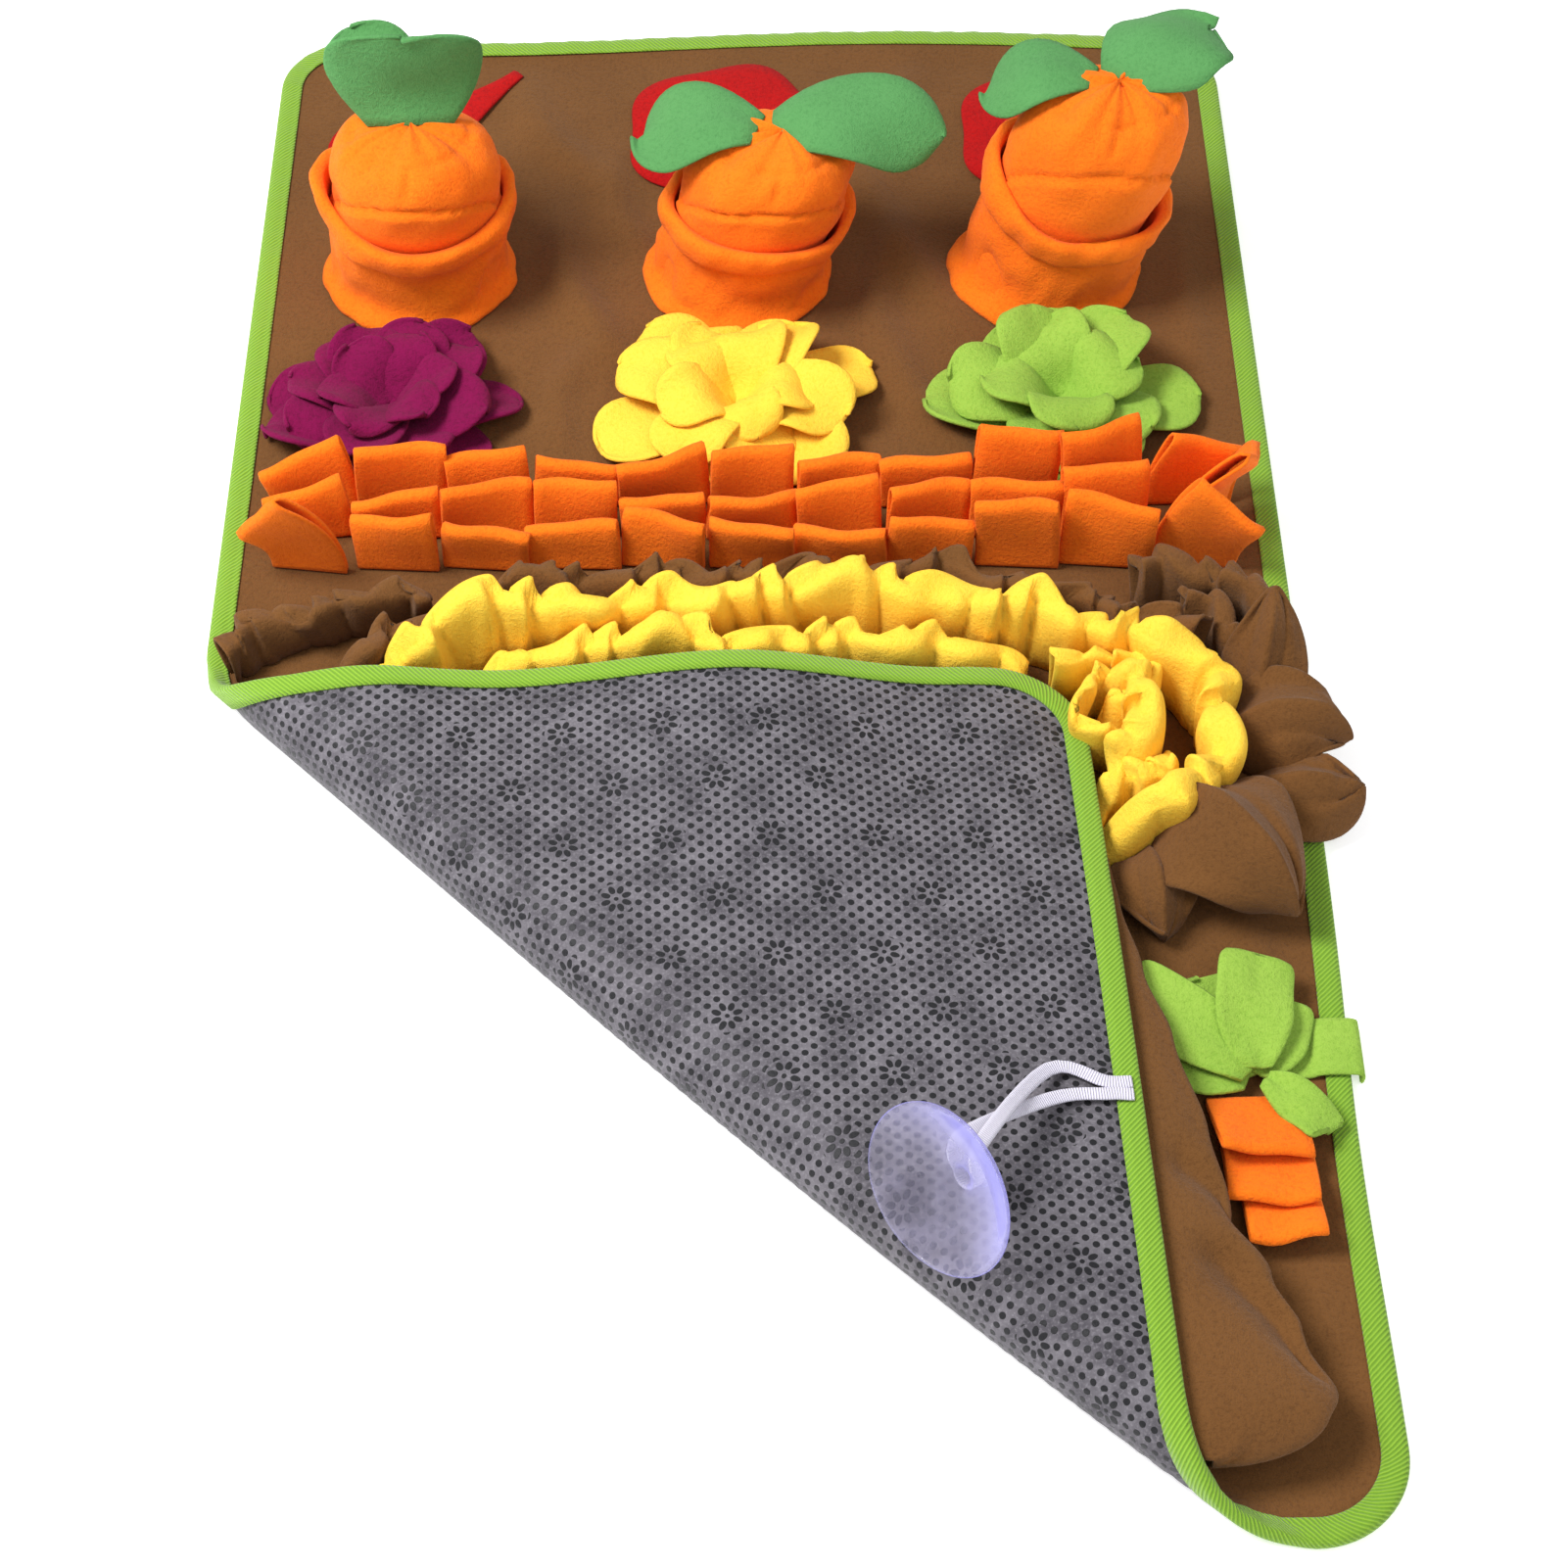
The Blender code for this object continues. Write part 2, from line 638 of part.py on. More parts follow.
def even_petals(cy, hub, count, start, rises, length, wide, lift_back):
    """Petals all round, each a little different. Those by the pocket stand, those by the fringe are short."""
    rows = []
    for i in range(count):
        heading = start + 360 * i / count + 2 * math.sin(i * 2.3 + start)
        back = math.sin(math.radians(heading))
        stand = lift_back * smooth(0.25, 0.85, back)
        rise_start = max(rises[0] + 3 * math.sin(i * 2.9), 5) + stand
        rise_end = rises[1] + 3 * math.sin(i * 1.3) + stand
        long = length * (1 + 0.07 * math.sin(i * 1.9 + start * 0.7))
        if back < -0.3:
            long = min(long, FRINGE_LIMIT / -back)
        if back > 0.3:
            flat = math.cos(math.radians((rise_start + rise_end) / 2))
            long = min(long, ((POCKET_FRONT - cy) / back - hub) / flat)
        rows.append((heading, rise_start, rise_end, long, wide))
    return rows


POCKET_FRONT = 0.2085
STEP = CLOTH_T + GAP
FRINGE_LIMIT = 0.038  # how long a petal towards the fringe may be
# petals, first heading, rise at root and tip, length, width, how much more those by the pocket rise
FLOWERS = (
    (
        "purple", "purple_fleece", -0.176, 0.156,
        ((8, 4, (7, 10), 0.053, 0.038, 28), (7, 28, (27, 30), 0.045, 0.034, 24), (5, 10, (60, 66), 0.034, 0.026, 8)),
    ),
    (
        "yellow", "yellow_fleece", -0.008, 0.156,
        ((6, 20, (8, -2), 0.058, 0.046, 28), (6, 50, (34, 4), 0.052, 0.042, 24), (4, 60, (64, 34), 0.040, 0.036, 8)),
    ),
    (
        "lime", "lime_fleece", 0.150, 0.158,
        ((6, 0, (8, 4), 0.058, 0.048, 28), (5, 40, (32, 16), 0.048, 0.044, 24), (3, 90, (62, 64), 0.038, 0.038, 8)),
    ),
)
for name, cloth, cx, cy, layers in FLOWERS:
    for k, (count, start, rises, length, wide, lift_back) in enumerate(layers):
        hub = 0.0130 - 0.0025 * k
        root_half = hub * math.pi / count * 0.86
        rows = even_petals(cy, hub, count, start, rises, length, wide, lift_back)
        flower_layer(f"{name}_petals_{k + 1}", cloth, cx, cy, SEAT + k * STEP, hub, root_half, rows)


# ---------------------------------------------------------------- the fringe
STRIP_T = 0.0036  # a strip is folded double
STRIP_W, STRIP_PITCH, STRIPS = 0.0385, 0.0413, 11
BAND_H = 0.003


def fringe(name, middle_x, y, wide, count, lean_root, lean_top, tall, sway, splay=0.0):
    """A row of folded strips that stand up from one sewn band; splay tips its end strips outward."""
    bm = bmesh.new()
    pitch = wide + STRIP_PITCH - STRIP_W
    first = middle_x - pitch * (count - 1) / 2
    grid = []
    for i in range(count):
        for x in (first + pitch * i - wide / 2, first + pitch * i + wide / 2):
            low, high = SEAT, SEAT + BAND_H
            corners = ((y - STRIP_T / 2, low), (y + STRIP_T / 2, low), (y + STRIP_T / 2, high), (y - STRIP_T / 2, high))
            grid.append([bm.verts.new((x, cy, z)) for cy, z in corners])
    for i in range(len(grid) - 1):
        a, b = grid[i], grid[i + 1]
        bm.faces.new((a[0], b[0], b[1], a[1]))
        bm.faces.new((a[1], b[1], b[2], a[2]))
        bm.faces.new((b[0], a[0], a[3], b[3]))
        if i % 2:
            bm.faces.new((a[2], b[2], b[3], a[3]))
    bm.faces.new(grid[0])
    bm.faces.new(grid[-1][::-1])
    steps = 4
    for i in range(count):
        middle = first + pitch * i
        lean = lean_top + 7 * math.sin(i * 2.1 + sway)
        high = tall * (1 + 0.12 * math.sin(i * 1.7 + sway * 2) - 0.22 * math.exp(-((middle / 0.11) ** 2)))
        spin = 8 * math.sin(i * 2.7 + sway)
        outward = splay * ((i == count - 1) - (i == 0))
        at = Vector((middle, y, SEAT + BAND_H))
        last = [grid[2 * i][3], grid[2 * i + 1][3], grid[2 * i + 1][2], grid[2 * i][2]]
        for s in range(1, steps + 1):
            k = s / steps
            angle = math.radians(lean_root + (lean - lean_root) * k)
            turn = math.radians(spin * k)
            tip = math.radians(outward * k)
            run = Vector((math.sin(tip), math.sin(angle) * math.cos(tip), math.cos(angle) * math.cos(tip)))
            at = at + run * (high / steps)
            across = Vector((math.cos(turn) * math.cos(tip), math.sin(turn), -math.sin(tip))).normalized()
            out = across.cross(run).normalized()
            half = across * (wide / 2) * (1 - 0.04 * k)
            thin = out * (STRIP_T / 2 * (1 if s < steps else 0.7))
            ring = [at - half + thin, at + half + thin, at + half - thin, at - half - thin]
            now = [bm.verts.new(p) for p in ring]
            for t in range(4):
                bm.faces.new((last[t], last[(t + 1) % 4], now[(t + 1) % 4], now[t]))
            last = now
        bm.faces.new(last)
    return put(name, bm, "orange_fleece")


# row, y, lean from upright at the root and at the top, height, sway
FRINGE_ROWS = (
    ("front", 0.055, 2, -22, 0.036, 0.3),
    ("middle", 0.075, 0, -12, 0.038, 1.7),
    ("back", 0.095, -2, 12, 0.041, 3.1),
)
for name, y, lean_root, lean_top, tall, sway in FRINGE_ROWS:
    fringe(f"fringe_{name}", 0.0, y, STRIP_W, STRIPS, lean_root, lean_top, tall, sway, 26)


# ---------------------------------------------------------------- gathered ruffles
RUFFLE_X, RUFFLE_Y = 0.014, -0.066  # middle of the oval
RUFFLES = (
    # name, cloth, half width, half depth, first angle, turn per pleat, height in the open, swing at foot and top
    ("brown_ruffle", "brown_fleece", 0.207, 0.092, 30, 12.0, 0.030, 0.0035, 0.0055),
    ("yellow_ruffle_outer", "yellow_fleece", 0.190, 0.072, -90, 14.4, 0.036, 0.0040, 0.0075),
    ("yellow_ruffle_inner", "yellow_fleece", 0.160, 0.050, -82, 18.0, 0.032, 0.0040, 0.0065),
)
PRESSED_H = 0.009  # the flap presses the ruffles down to this
FOLD_CLEAR = 0.010  # they stop this far from the fold


def open_arc(half_x, half_y, first):
    """From where to where a row runs, in degrees: it stops short of the fold on both sides."""
    ends = []
    for step, limit in ((-1, first), (1, first + 344)):
        a = 90
        while a != limit:
            x = RUFFLE_X + half_x * math.cos(math.radians(a + step))
            y = RUFFLE_Y + half_y * math.sin(math.radians(a + step))
            if fold_place(x, y)[1] > -FOLD_CLEAR:
                break
            a += step
        ends.append(a)
    return ends


def ruffle(name, cloth, half_x, half_y, first, pleat, tall, foot, crest):
    """A strip gathered into an oval of upright pleats."""
    start, end = open_arc(half_x, half_y, first)
    count = 4 * round((end - start) / pleat)
    rings = []
    for i in range(count + 1):
        a = math.radians(start + (end - start) * i / count)
        swing = (0, 1, 0, -1)[i % 4]
        out = Vector((math.cos(a) * half_y, math.sin(a) * half_x, 0)).normalized()
        middle = Vector((RUFFLE_X + half_x * math.cos(a), RUFFLE_Y + half_y * math.sin(a), 0))
        pressed = smooth(-0.022, 0.004, under_flap(middle.x, middle.y))
        high = tall * (1 + 0.10 * math.sin(a * 5 + half_x * 90))
        high += (PRESSED_H - high) * pressed
        ring = []
        for level, side in ((0, -1), (0, 1), (1, 1), (2, 1), (2, -1), (1, -1)):
            reach = (foot, (foot + crest) / 2, crest)[level] * swing
            lean = (0, 0.001, 0.003)[level]
            at = middle + out * (reach + lean + side * CLOTH_T / 2 * 1.15)
            ring.append((at.x, at.y, SEAT + high * level / 2))
        rings.append(ring)
    bm = bmesh.new()
    loft(bm, rings)
    return put(name, bm, cloth)


for row in RUFFLES:
    ruffle(*row)


# big brown petals, folded along their middle, at the oval's right end
# root x, y, heading, rise at root and tip, length, width, keel
BROWN_PETALS = (
    (0.2230, -0.030, 20, 66, 36, 0.046, 0.028, 0.008),
    (0.2230, -0.056, -10, 40, -6, 0.038, 0.036, 0.010),
    (0.1950, -0.1065, -64, 42, -10, 0.058, 0.044, 0.014),
    (0.2180, -0.0860, -30, 70, 28, 0.048, 0.032, 0.010),
    (0.1700, -0.126, -72, 24, -4, 0.034, 0.036, 0.008),
)


def keeled_petal(name, x, y, heading, rise_start, rise_end, length, wide, keel):
    """A petal creased along its middle, with its sides hanging."""
    bm = bmesh.new()
    rings = []
    shape = (0.42, 0.86, 1.0, 0.80, 0.30)
    root = (x, y, SEAT + CLOTH_T / 2 * math.cos(math.radians(rise_start)))
    for i, (at, run, side) in enumerate(spine(root, heading, rise_start, rise_end, length, 4)):
        up = run.cross(side)
        ridge = at + up * keel * (0.2, 0.8, 1.0, 0.9, 0.4)[i]
        half = side * wide / 2 * shape[i]
        thin = up * CLOTH_T / 2
        rings.append([at + half - thin, ridge - thin, at - half - thin, at - half + thin, ridge + thin, at + half + thin])
    loft(bm, rings)
    return put(name, bm, "brown_fleece")


for i, row in enumerate(BROWN_PETALS):
    keeled_petal(f"brown_petal_{i + 1}", *row)


# ---------------------------------------------------------------- the carrot by the strap
LIME_X, LIME_Y = 0.205, -0.225
# heading, level, length and width of each leaf
LIME_LEAVES = (
    (108, 0, 0.038, 0.024),
    (56, 0, 0.022, 0.022),
    (162, 0, 0.030, 0.024),
    (128, 1, 0.062, 0.025),
    (80, 1, 0.044, 0.025),
    (-38, 1, 0.026, 0.016),
)
for i, (heading, level, length, wide) in enumerate(LIME_LEAVES):
    way = math.radians(heading)
    root = (LIME_X + 0.010 * math.cos(way), LIME_Y + 0.010 * math.sin(way), SEAT + 0.0038 + 0.0027 * level)
    leaf(f"lime_leaf_{i + 1}", "lime_fleece", root, heading, 3 + 3 * level, level, length, (0.008, wide * 0.8, wide, wide * 0.96))

# strips folded like the fringe's, sewn as the carrot's body: middle x, y, width, lean at root and top, height
CARROT_STRIPS = (
    (0.2110, -0.252, 0.028, -10, -60, 0.024),
    (0.2110, -0.273, 0.026, -10, -60, 0.024),
    (0.2155, -0.293, 0.017, -20, -70, 0.019),
)
for i, (x, y, wide, lean_root, lean_top, tall) in enumerate(CARROT_STRIPS):
    fringe(f"carrot_strip_{i + 1}", x, y, wide, 1, lean_root, lean_top, tall, 0.4 + i)

TAPE_TOP = EDGE_LIFT + FLEECE_TOP + GAP + TAPE_T
# the strap's middle line, from under the leaves, over the binding and down its side: x, z
STRAP_PATH = (
    (0.2150, SEAT + 0.0012),
    (0.2290, SEAT + 0.0012),
    (0.2360, TAPE_TOP + 0.0016),
    (0.2490, TAPE_TOP + 0.0016),
    (0.2520, TAPE_TOP - 0.0006),
    (0.2520, 0.0006),
)
STRAP_FROM, STRAP_TO, STRAP_T = -0.2320, -0.2050, 0.0018


def strap():
    bm = bmesh.new()
    rings = []
    line = [Vector((x, z)) for x, z in STRAP_PATH]
    for i, at in enumerate(line):
        run = (line[min(i + 1, len(line) - 1)] - line[max(i - 1, 0)]).normalized()
        up = Vector((-run.y, run.x)) * STRAP_T / 2
        low, high = at - up, at + up
        rings.append([(p.x, y, p.y) for p, y in ((low, STRAP_FROM), (low, STRAP_TO), (high, STRAP_TO), (high, STRAP_FROM))])
    loft(bm, rings)
    return put("edge_strap", bm, "lime_fleece")


strap()


# ---------------------------------------------------------------- suction cup on elastic
CUP_R = 0.0360
CUP_AXIS = Vector((-0.70, -0.62, 0.34)).normalized()  # the way its open side faces
CUP_MIDDLE = Vector((0.0702, -0.3215, 0.0655))  # its rim stands on the roll's shoulder
# radius, place along the axis from the rim's plane
CUP_PROFILE = (
    (0.0, -0.0088),
    (0.0110, -0.0082),
    (0.0220, -0.0058),
    (0.0300, -0.0024),
    (0.0355, 0.0004),
    (0.0360, 0.0),
    (0.0350, -0.0012),
    (0.0290, -0.0048),
    (0.0205, -0.0085),
    (0.0110, -0.0112),
    (0.0052, -0.0126),
    (0.0040, -0.0150),
    (0.0040, -0.0206),
    (0.0075, -0.0216),
    (0.0075, -0.0244),
    (0.0, -0.0250),
)


def suction_cup():
    side = Vector((-CUP_AXIS.y, CUP_AXIS.x, 0)).normalized()
    top = CUP_AXIS.cross(side)
    bm = bmesh.new()
    count = 20
    rows = []
    for r, z in CUP_PROFILE:
        middle = CUP_MIDDLE + CUP_AXIS * z
        if r == 0:
            rows.append([bm.verts.new(middle)])
            continue
        ring = []
        for i in range(count):
            a = 2 * math.pi * i / count
            ring.append(bm.verts.new(middle + side * r * math.cos(a) + top * r * math.sin(a)))
        rows.append(ring)
    for a, b in zip(rows, rows[1:]):
        for i in range(count):
            j = (i + 1) % count
            if len(a) == 1:
                bm.faces.new((a[0], b[i], b[j]))
            elif len(b) == 1:
                bm.faces.new((a[i], a[j], b[0]))
            else:
                bm.faces.new((a[i], a[j], b[j], b[i]))
    return put("suction_cup", bm, "clear_plastic")


suction_cup()

# the elastic: flat tape, sewn under the binding's edge at both ends, its loop round the cup's neck
ELASTIC_W, ELASTIC_T = 0.0052, 0.0011
NECK = CUP_MIDDLE + CUP_AXIS * -0.0179
NECK_LOOP_R = 0.0040 + GAP + ELASTIC_T / 2 + 0.0003
TIE_U = 0.232  # where it is sewn, from the flap's corner along its short edge


def on_tape(u, v, above):
    """A place above the flap's felt side."""
    return Vector(folded(u + NEAR_LEFT[0], v + NEAR_LEFT[1], -above))


def elastic():
    to_tie = on_tape(TIE_U, 0.02, 0.0) - NECK
    back = (to_tie - CUP_AXIS * to_tie.dot(CUP_AXIS)).normalized()  # away from the cup, in the neck's plane
    side = CUP_AXIS.cross(back)
    edge = Vector((0.042, -0.999, 0))
    line = []
    for k, wide_at in ((-1, TIE_U - 0.0030), (1, TIE_U + 0.0030)):
        run = [
            (on_tape(wide_at, 0.0045, 0.0012), edge),
            (on_tape(wide_at, 0.0150, 0.0022), edge),
            (on_tape(wide_at + 0.004 * k, 0.0380, 0.0060), edge),
        ]
        start = NECK + side * k * NECK_LOOP_R + back * 0.014
        run.append((start, CUP_AXIS * -1))
        line.append(run)
    around = []
    for i in range(9):
        a = math.pi * (i / 8)
        spot = NECK - side * NECK_LOOP_R * math.cos(a) - back * NECK_LOOP_R * math.sin(a)
        around.append((spot, CUP_AXIS * -1))
    path = line[0] + around + line[1][::-1]
    rings, last = [], path[0][1]
    for i, (at, wide) in enumerate(path):
        run = (path[min(i + 1, len(path) - 1)][0] - path[max(i - 1, 0)][0]).normalized()
        wide = (wide - run * wide.dot(run)).normalized()
        if wide.dot(last) < 0:
            wide = -wide
        last = wide
        thin = run.cross(wide) * ELASTIC_T / 2
        across = wide * ELASTIC_W / 2
        rings.append([at - across - thin, at + across - thin, at + across + thin, at - across + thin])
    bm = bmesh.new()
    loft(bm, rings)
    return put("elastic_loop", bm, "white_elastic")


elastic()
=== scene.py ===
"""The looks of the snuffle mat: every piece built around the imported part, in metres, +Z up."""
import math

import bpy
import numpy as np
from mathutils import Matrix, Vector, noise


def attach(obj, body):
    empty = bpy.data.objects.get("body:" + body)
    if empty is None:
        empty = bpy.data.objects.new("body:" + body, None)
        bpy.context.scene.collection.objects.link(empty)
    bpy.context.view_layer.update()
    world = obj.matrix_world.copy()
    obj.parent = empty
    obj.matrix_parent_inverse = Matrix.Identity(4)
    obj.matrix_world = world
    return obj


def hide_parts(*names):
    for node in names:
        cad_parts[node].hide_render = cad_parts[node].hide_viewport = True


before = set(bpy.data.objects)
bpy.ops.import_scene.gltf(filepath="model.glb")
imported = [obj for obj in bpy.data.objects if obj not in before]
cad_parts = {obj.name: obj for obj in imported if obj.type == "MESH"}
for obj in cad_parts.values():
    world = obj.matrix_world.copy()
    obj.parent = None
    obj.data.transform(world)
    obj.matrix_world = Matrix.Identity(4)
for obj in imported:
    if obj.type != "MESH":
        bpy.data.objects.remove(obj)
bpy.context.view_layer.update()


# ================================================================ the photographer's stand
# A camera above the mat's near end, looking down its length. A plain white floor under the
# mat, a large lamp from the left, a weaker one from the front right and pale light all round.
def look_from(place, pitch, yaw, roll):
    """A camera's matrix from its place, how far it looks down, and its small turns."""
    ahead = Vector((0, math.cos(pitch), -math.sin(pitch)))
    upward = Vector((0, math.sin(pitch), math.cos(pitch)))
    turned = Matrix.Rotation(yaw, 3, "Z")
    ahead, upward, right = turned @ ahead, turned @ upward, turned @ Vector((1, 0, 0))
    across = math.cos(roll) * right + math.sin(roll) * upward
    upright = -math.sin(roll) * right + math.cos(roll) * upward
    made = Matrix((across, upright, -ahead)).transposed().to_4x4()
    made.translation = place
    return made


camera = bpy.data.objects.new("camera", bpy.data.cameras.new("camera"))
bpy.context.scene.collection.objects.link(camera)
camera.matrix_world = look_from(
    Vector((0.00253, -0.96254, 1.12981)), pitch=0.90322, yaw=-0.01263, roll=0.00424
)
camera.data.sensor_width = 36
camera.data.lens = 3300 / 1601 * 36  # the photograph's focal length is 3300 of its 1601 pixels
camera.data.clip_start, camera.data.clip_end = 0.05, 30
bpy.context.scene.camera = camera
bpy.context.scene.view_settings.view_transform = "Standard"  # the photograph's colours are plain and full

floor_mesh = bpy.data.meshes.new("floor")
floor_mesh.from_pydata([(-6, -6, 0), (6, -6, 0), (6, 6, 0), (-6, 6, 0)], [], [(0, 1, 2, 3)])
floor = bpy.data.objects.new("floor", floor_mesh)
floor.location.z = -0.0004
bpy.context.scene.collection.objects.link(floor)
paper = bpy.data.materials.new("white paper")
paper.use_nodes = True
surface = paper.node_tree.nodes["Principled BSDF"].inputs
surface["Base Color"].default_value = (0.90, 0.90, 0.90, 1)
surface["Roughness"].default_value = 0.9
surface["Emission Color"].default_value = (1, 1, 1, 1)
surface["Emission Strength"].default_value = 0.50  # lit from below, so that no shadow shows
floor_mesh.materials.append(paper)

room = bpy.data.worlds.new("room")
room.use_nodes = True
room.node_tree.nodes["Background"].inputs["Color"].default_value = (0.97, 0.98, 1.0, 1)
room.node_tree.nodes["Background"].inputs["Strength"].default_value = 0.52
bpy.context.scene.world = room
for name, place, size, watts in (
    ("key lamp", (-1.00, -0.10, 1.6), 0.7, 42),
    ("fill lamp", (0.7, -1.0, 1.6), 1.2, 8),
):
    lamp = bpy.data.objects.new(name, bpy.data.lights.new(name, "AREA"))
    lamp.data.energy, lamp.data.size = watts, size
    lamp.location = place
    lamp.rotation_euler = (-Vector(place)).to_track_quat("-Z", "Y").to_euler()
    bpy.context.scene.collection.objects.link(lamp)


# ================================================================ felt backing
# Grey needled felt, 1.6 mm, with black rubber grip dots printed on the side that faces the
# floor. Its near left corner is folded over in a soft roll and shows that side.
MAT_W, MAT_L, CORNER_R = 0.500, 0.880, 0.040
FELT_T, FLEECE_T, TAPE_T, TAPE_W, GAP = 0.0016, 0.0014, 0.0010, 0.011, 0.0003
FLEECE_TOP = FELT_T + GAP + FLEECE_T
SEAT = FLEECE_TOP + GAP  # where sewn-on pieces lie
EDGE_LIFT = TAPE_T + GAP  # the cloths rise onto the binding's lower leg
NEAR_LEFT = np.array([-MAT_W / 2, -MAT_L / 2])
FOLD_START, FOLD_END = NEAR_LEFT + (0, 0.4415), NEAR_LEFT + (0.4594, 0)
FOLD_LENGTH = np.linalg.norm(FOLD_END - FOLD_START)
ALONG = (FOLD_END - FOLD_START) / FOLD_LENGTH
ACROSS = np.array([ALONG[1], -ALONG[0]])  # towards the folded corner
ROLL_R, ROLL_TURN = 0.0205, math.pi + 0.02
EDGE_WAVES = ((0.0, -0.010), (0.058, -0.005), (0.157, 0.011), (0.256, 0.001), (0.355, 0.012), (0.437, 0.0))
WAVE_REACH = 0.115


def smooth(low, high, x):
    """0 below low, 1 above high, a soft step between, for numbers and arrays."""
    k = np.clip((np.asarray(x, float) - low) / (high - low), 0, 1)
    return k * k * (3 - 2 * k)


def eased(rows, x, column=1):
    """Values read from a short table by its first column, with soft steps between rows."""
    rows = np.array(rows, float)
    xs, ys = rows[:, 0], rows[:, column]
    i = np.clip(np.searchsorted(xs, x, side="right") - 1, 0, len(xs) - 2)
    k = np.clip((x - xs[i]) / (xs[i + 1] - xs[i]), 0, 1)
    return ys[i] + (ys[i + 1] - ys[i]) * k * k * (3 - 2 * k)


def folded(u, v, height):
    """Where points of the flat cloths go once the corner is folded over."""
    u, v, height = np.broadcast_arrays(np.asarray(u, float), np.asarray(v, float), np.asarray(height, float))
    qx, qy = u - FOLD_START[0], v - FOLD_START[1]
    along, past = qx * ALONG[0] + qy * ALONG[1], qx * ACROSS[0] + qy * ACROSS[1]
    fat = 0.008 * np.sin(math.pi * np.clip(along / FOLD_LENGTH, 0, 1) ** 1.4) - 0.003
    turn = np.clip(past / ROLL_R, 0, ROLL_TURN)
    run = np.maximum(past - ROLL_R * ROLL_TURN, 0)
    ripple = smooth(2.6 * ROLL_R, 5.0 * ROLL_R, past) * eased(EDGE_WAVES, v - NEAR_LEFT[1])
    ripple = ripple * np.exp(-((np.maximum(u - NEAR_LEFT[0], 0) / WAVE_REACH) ** 2))
    reach = (ROLL_R - height) * np.sin(turn) + fat * np.maximum(np.sin(turn), 0) + run * np.cos(turn)
    up = ROLL_R - (ROLL_R - height) * np.cos(turn) + run * np.sin(turn) + ripple
    x = FOLD_START[0] + along * ALONG[0] + reach * ACROSS[0]
    y = FOLD_START[1] + along * ALONG[1] + reach * ACROSS[1]
    flat = past <= 0
    return np.stack([np.where(flat, u, x), np.where(flat, v, y), np.where(flat, height, up)], -1)


def edge_distance(u, v):
    """How far a point of the flat cloths lies inside the mat's outline."""
    dx, dy = np.abs(u) - MAT_W / 2 + CORNER_R, np.abs(v) - MAT_L / 2 + CORNER_R
    return CORNER_R - np.hypot(np.maximum(dx, 0), np.maximum(dy, 0)) - np.minimum(np.maximum(dx, dy), 0)


def bowed(u, v):
    """The real outline isn't ruler straight: its far edge waves and its right edge bows in."""
    du = -0.003 * np.exp(-(((v + 0.27) / 0.09) ** 2)) * smooth(0.18, 0.25, u)
    dv = 0.0045 * np.cos(2 * math.pi * (u - 0.075) / 0.46) * smooth(0.30, 0.44, v)
    return u + du, v + dv


def shaped(name, points, faces):
    """A smooth object from points and faces."""
    mesh = bpy.data.meshes.new(name)
    mesh.from_pydata([tuple(p) for p in points], [], faces)
    mesh.shade_smooth()
    made = bpy.data.objects.new(name, mesh)
    bpy.context.scene.collection.objects.link(made)
    return made


def cloth(name, grids, thick, uvs=None, wrap=False):
    """A closed sheet of cloth from grids of points: two faces, and a rounded edge between them.

    grids are arrays of rows x columns x 3. With wrap the last row joins the first.
    """
    points, faces, coords = [], [], []
    for k, grid in enumerate(grids):
        n, m = grid.shape[:2]
        if wrap:
            ring = np.concatenate([grid[-1:], grid, grid[:1]])
            down = (ring[2:] - ring[:-2]) / 2
        else:
            down = np.gradient(grid, axis=0)
        normal = np.cross(down, np.gradient(grid, axis=1))
        normal /= np.maximum(np.linalg.norm(normal, axis=2, keepdims=True), 1e-12)
        base = len(points)
        top = np.arange(n * m).reshape(n, m) + base
        low = top + n * m
        points += list((grid + normal * thick / 2).reshape(-1, 3))
        points += list((grid - normal * thick / 2).reshape(-1, 3))
        flat = np.zeros((n, m, 2)) if uvs is None else uvs[k]
        coords += list(flat.reshape(-1, 2)) * 2
        rows = np.arange(n if wrap else n - 1)
        for i in rows:
            a, b = top[i], top[(i + 1) % n]
            c, d = low[i], low[(i + 1) % n]
            faces += [(a[j], b[j], b[j + 1], a[j + 1]) for j in range(m - 1)]
            faces += [(c[j], c[j + 1], d[j + 1], d[j]) for j in range(m - 1)]
        borders = [[(i, 0) for i in range(n)], [(n - 1 - i, m - 1) for i in range(n)]]
        if not wrap:
            loop = borders[0][:-1] + [(n - 1, j) for j in range(m - 1)]
            loop += borders[1][:-1] + [(0, m - 1 - j) for j in range(m - 1)]
            borders = [loop]
        for loop in borders:
            first = len(points)
            for i, j in loop:
                inner = (min(max(i, 1), n - 2) if not wrap else i, min(max(j, 1), m - 2))
                out = grid[i, j] - grid[inner]
                out = out / max(np.linalg.norm(out), 1e-9)
                points.append(grid[i, j] + out * thick * 0.38)
                coords.append(flat[i, j])
            for s, (i, j) in enumerate(loop):
                t = (s + 1) % len(loop)
                e, f = loop[t]
                faces.append((top[i, j], first + s, first + t, top[e, f]))
                faces.append((first + s, low[i, j], low[e, f], first + t))
    faces = [tuple(int(q) for q in f) for f in faces]
    piece = shaped(name, points, faces)
    if uvs is not None:
        corner = np.empty(len(piece.data.loops), int)
        piece.data.loops.foreach_get("vertex_index", corner)
        layer = piece.data.uv_layers.new(name="cut")
        layer.data.foreach_set("uv", np.array(coords, np.float32)[corner].ravel())
    return piece


def fit(piece, material, slot, *nodes):
    """The piece gets its material and stands for its plain solids."""
    piece.data.materials.append(material)
    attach(piece, "root")
    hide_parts(*nodes)


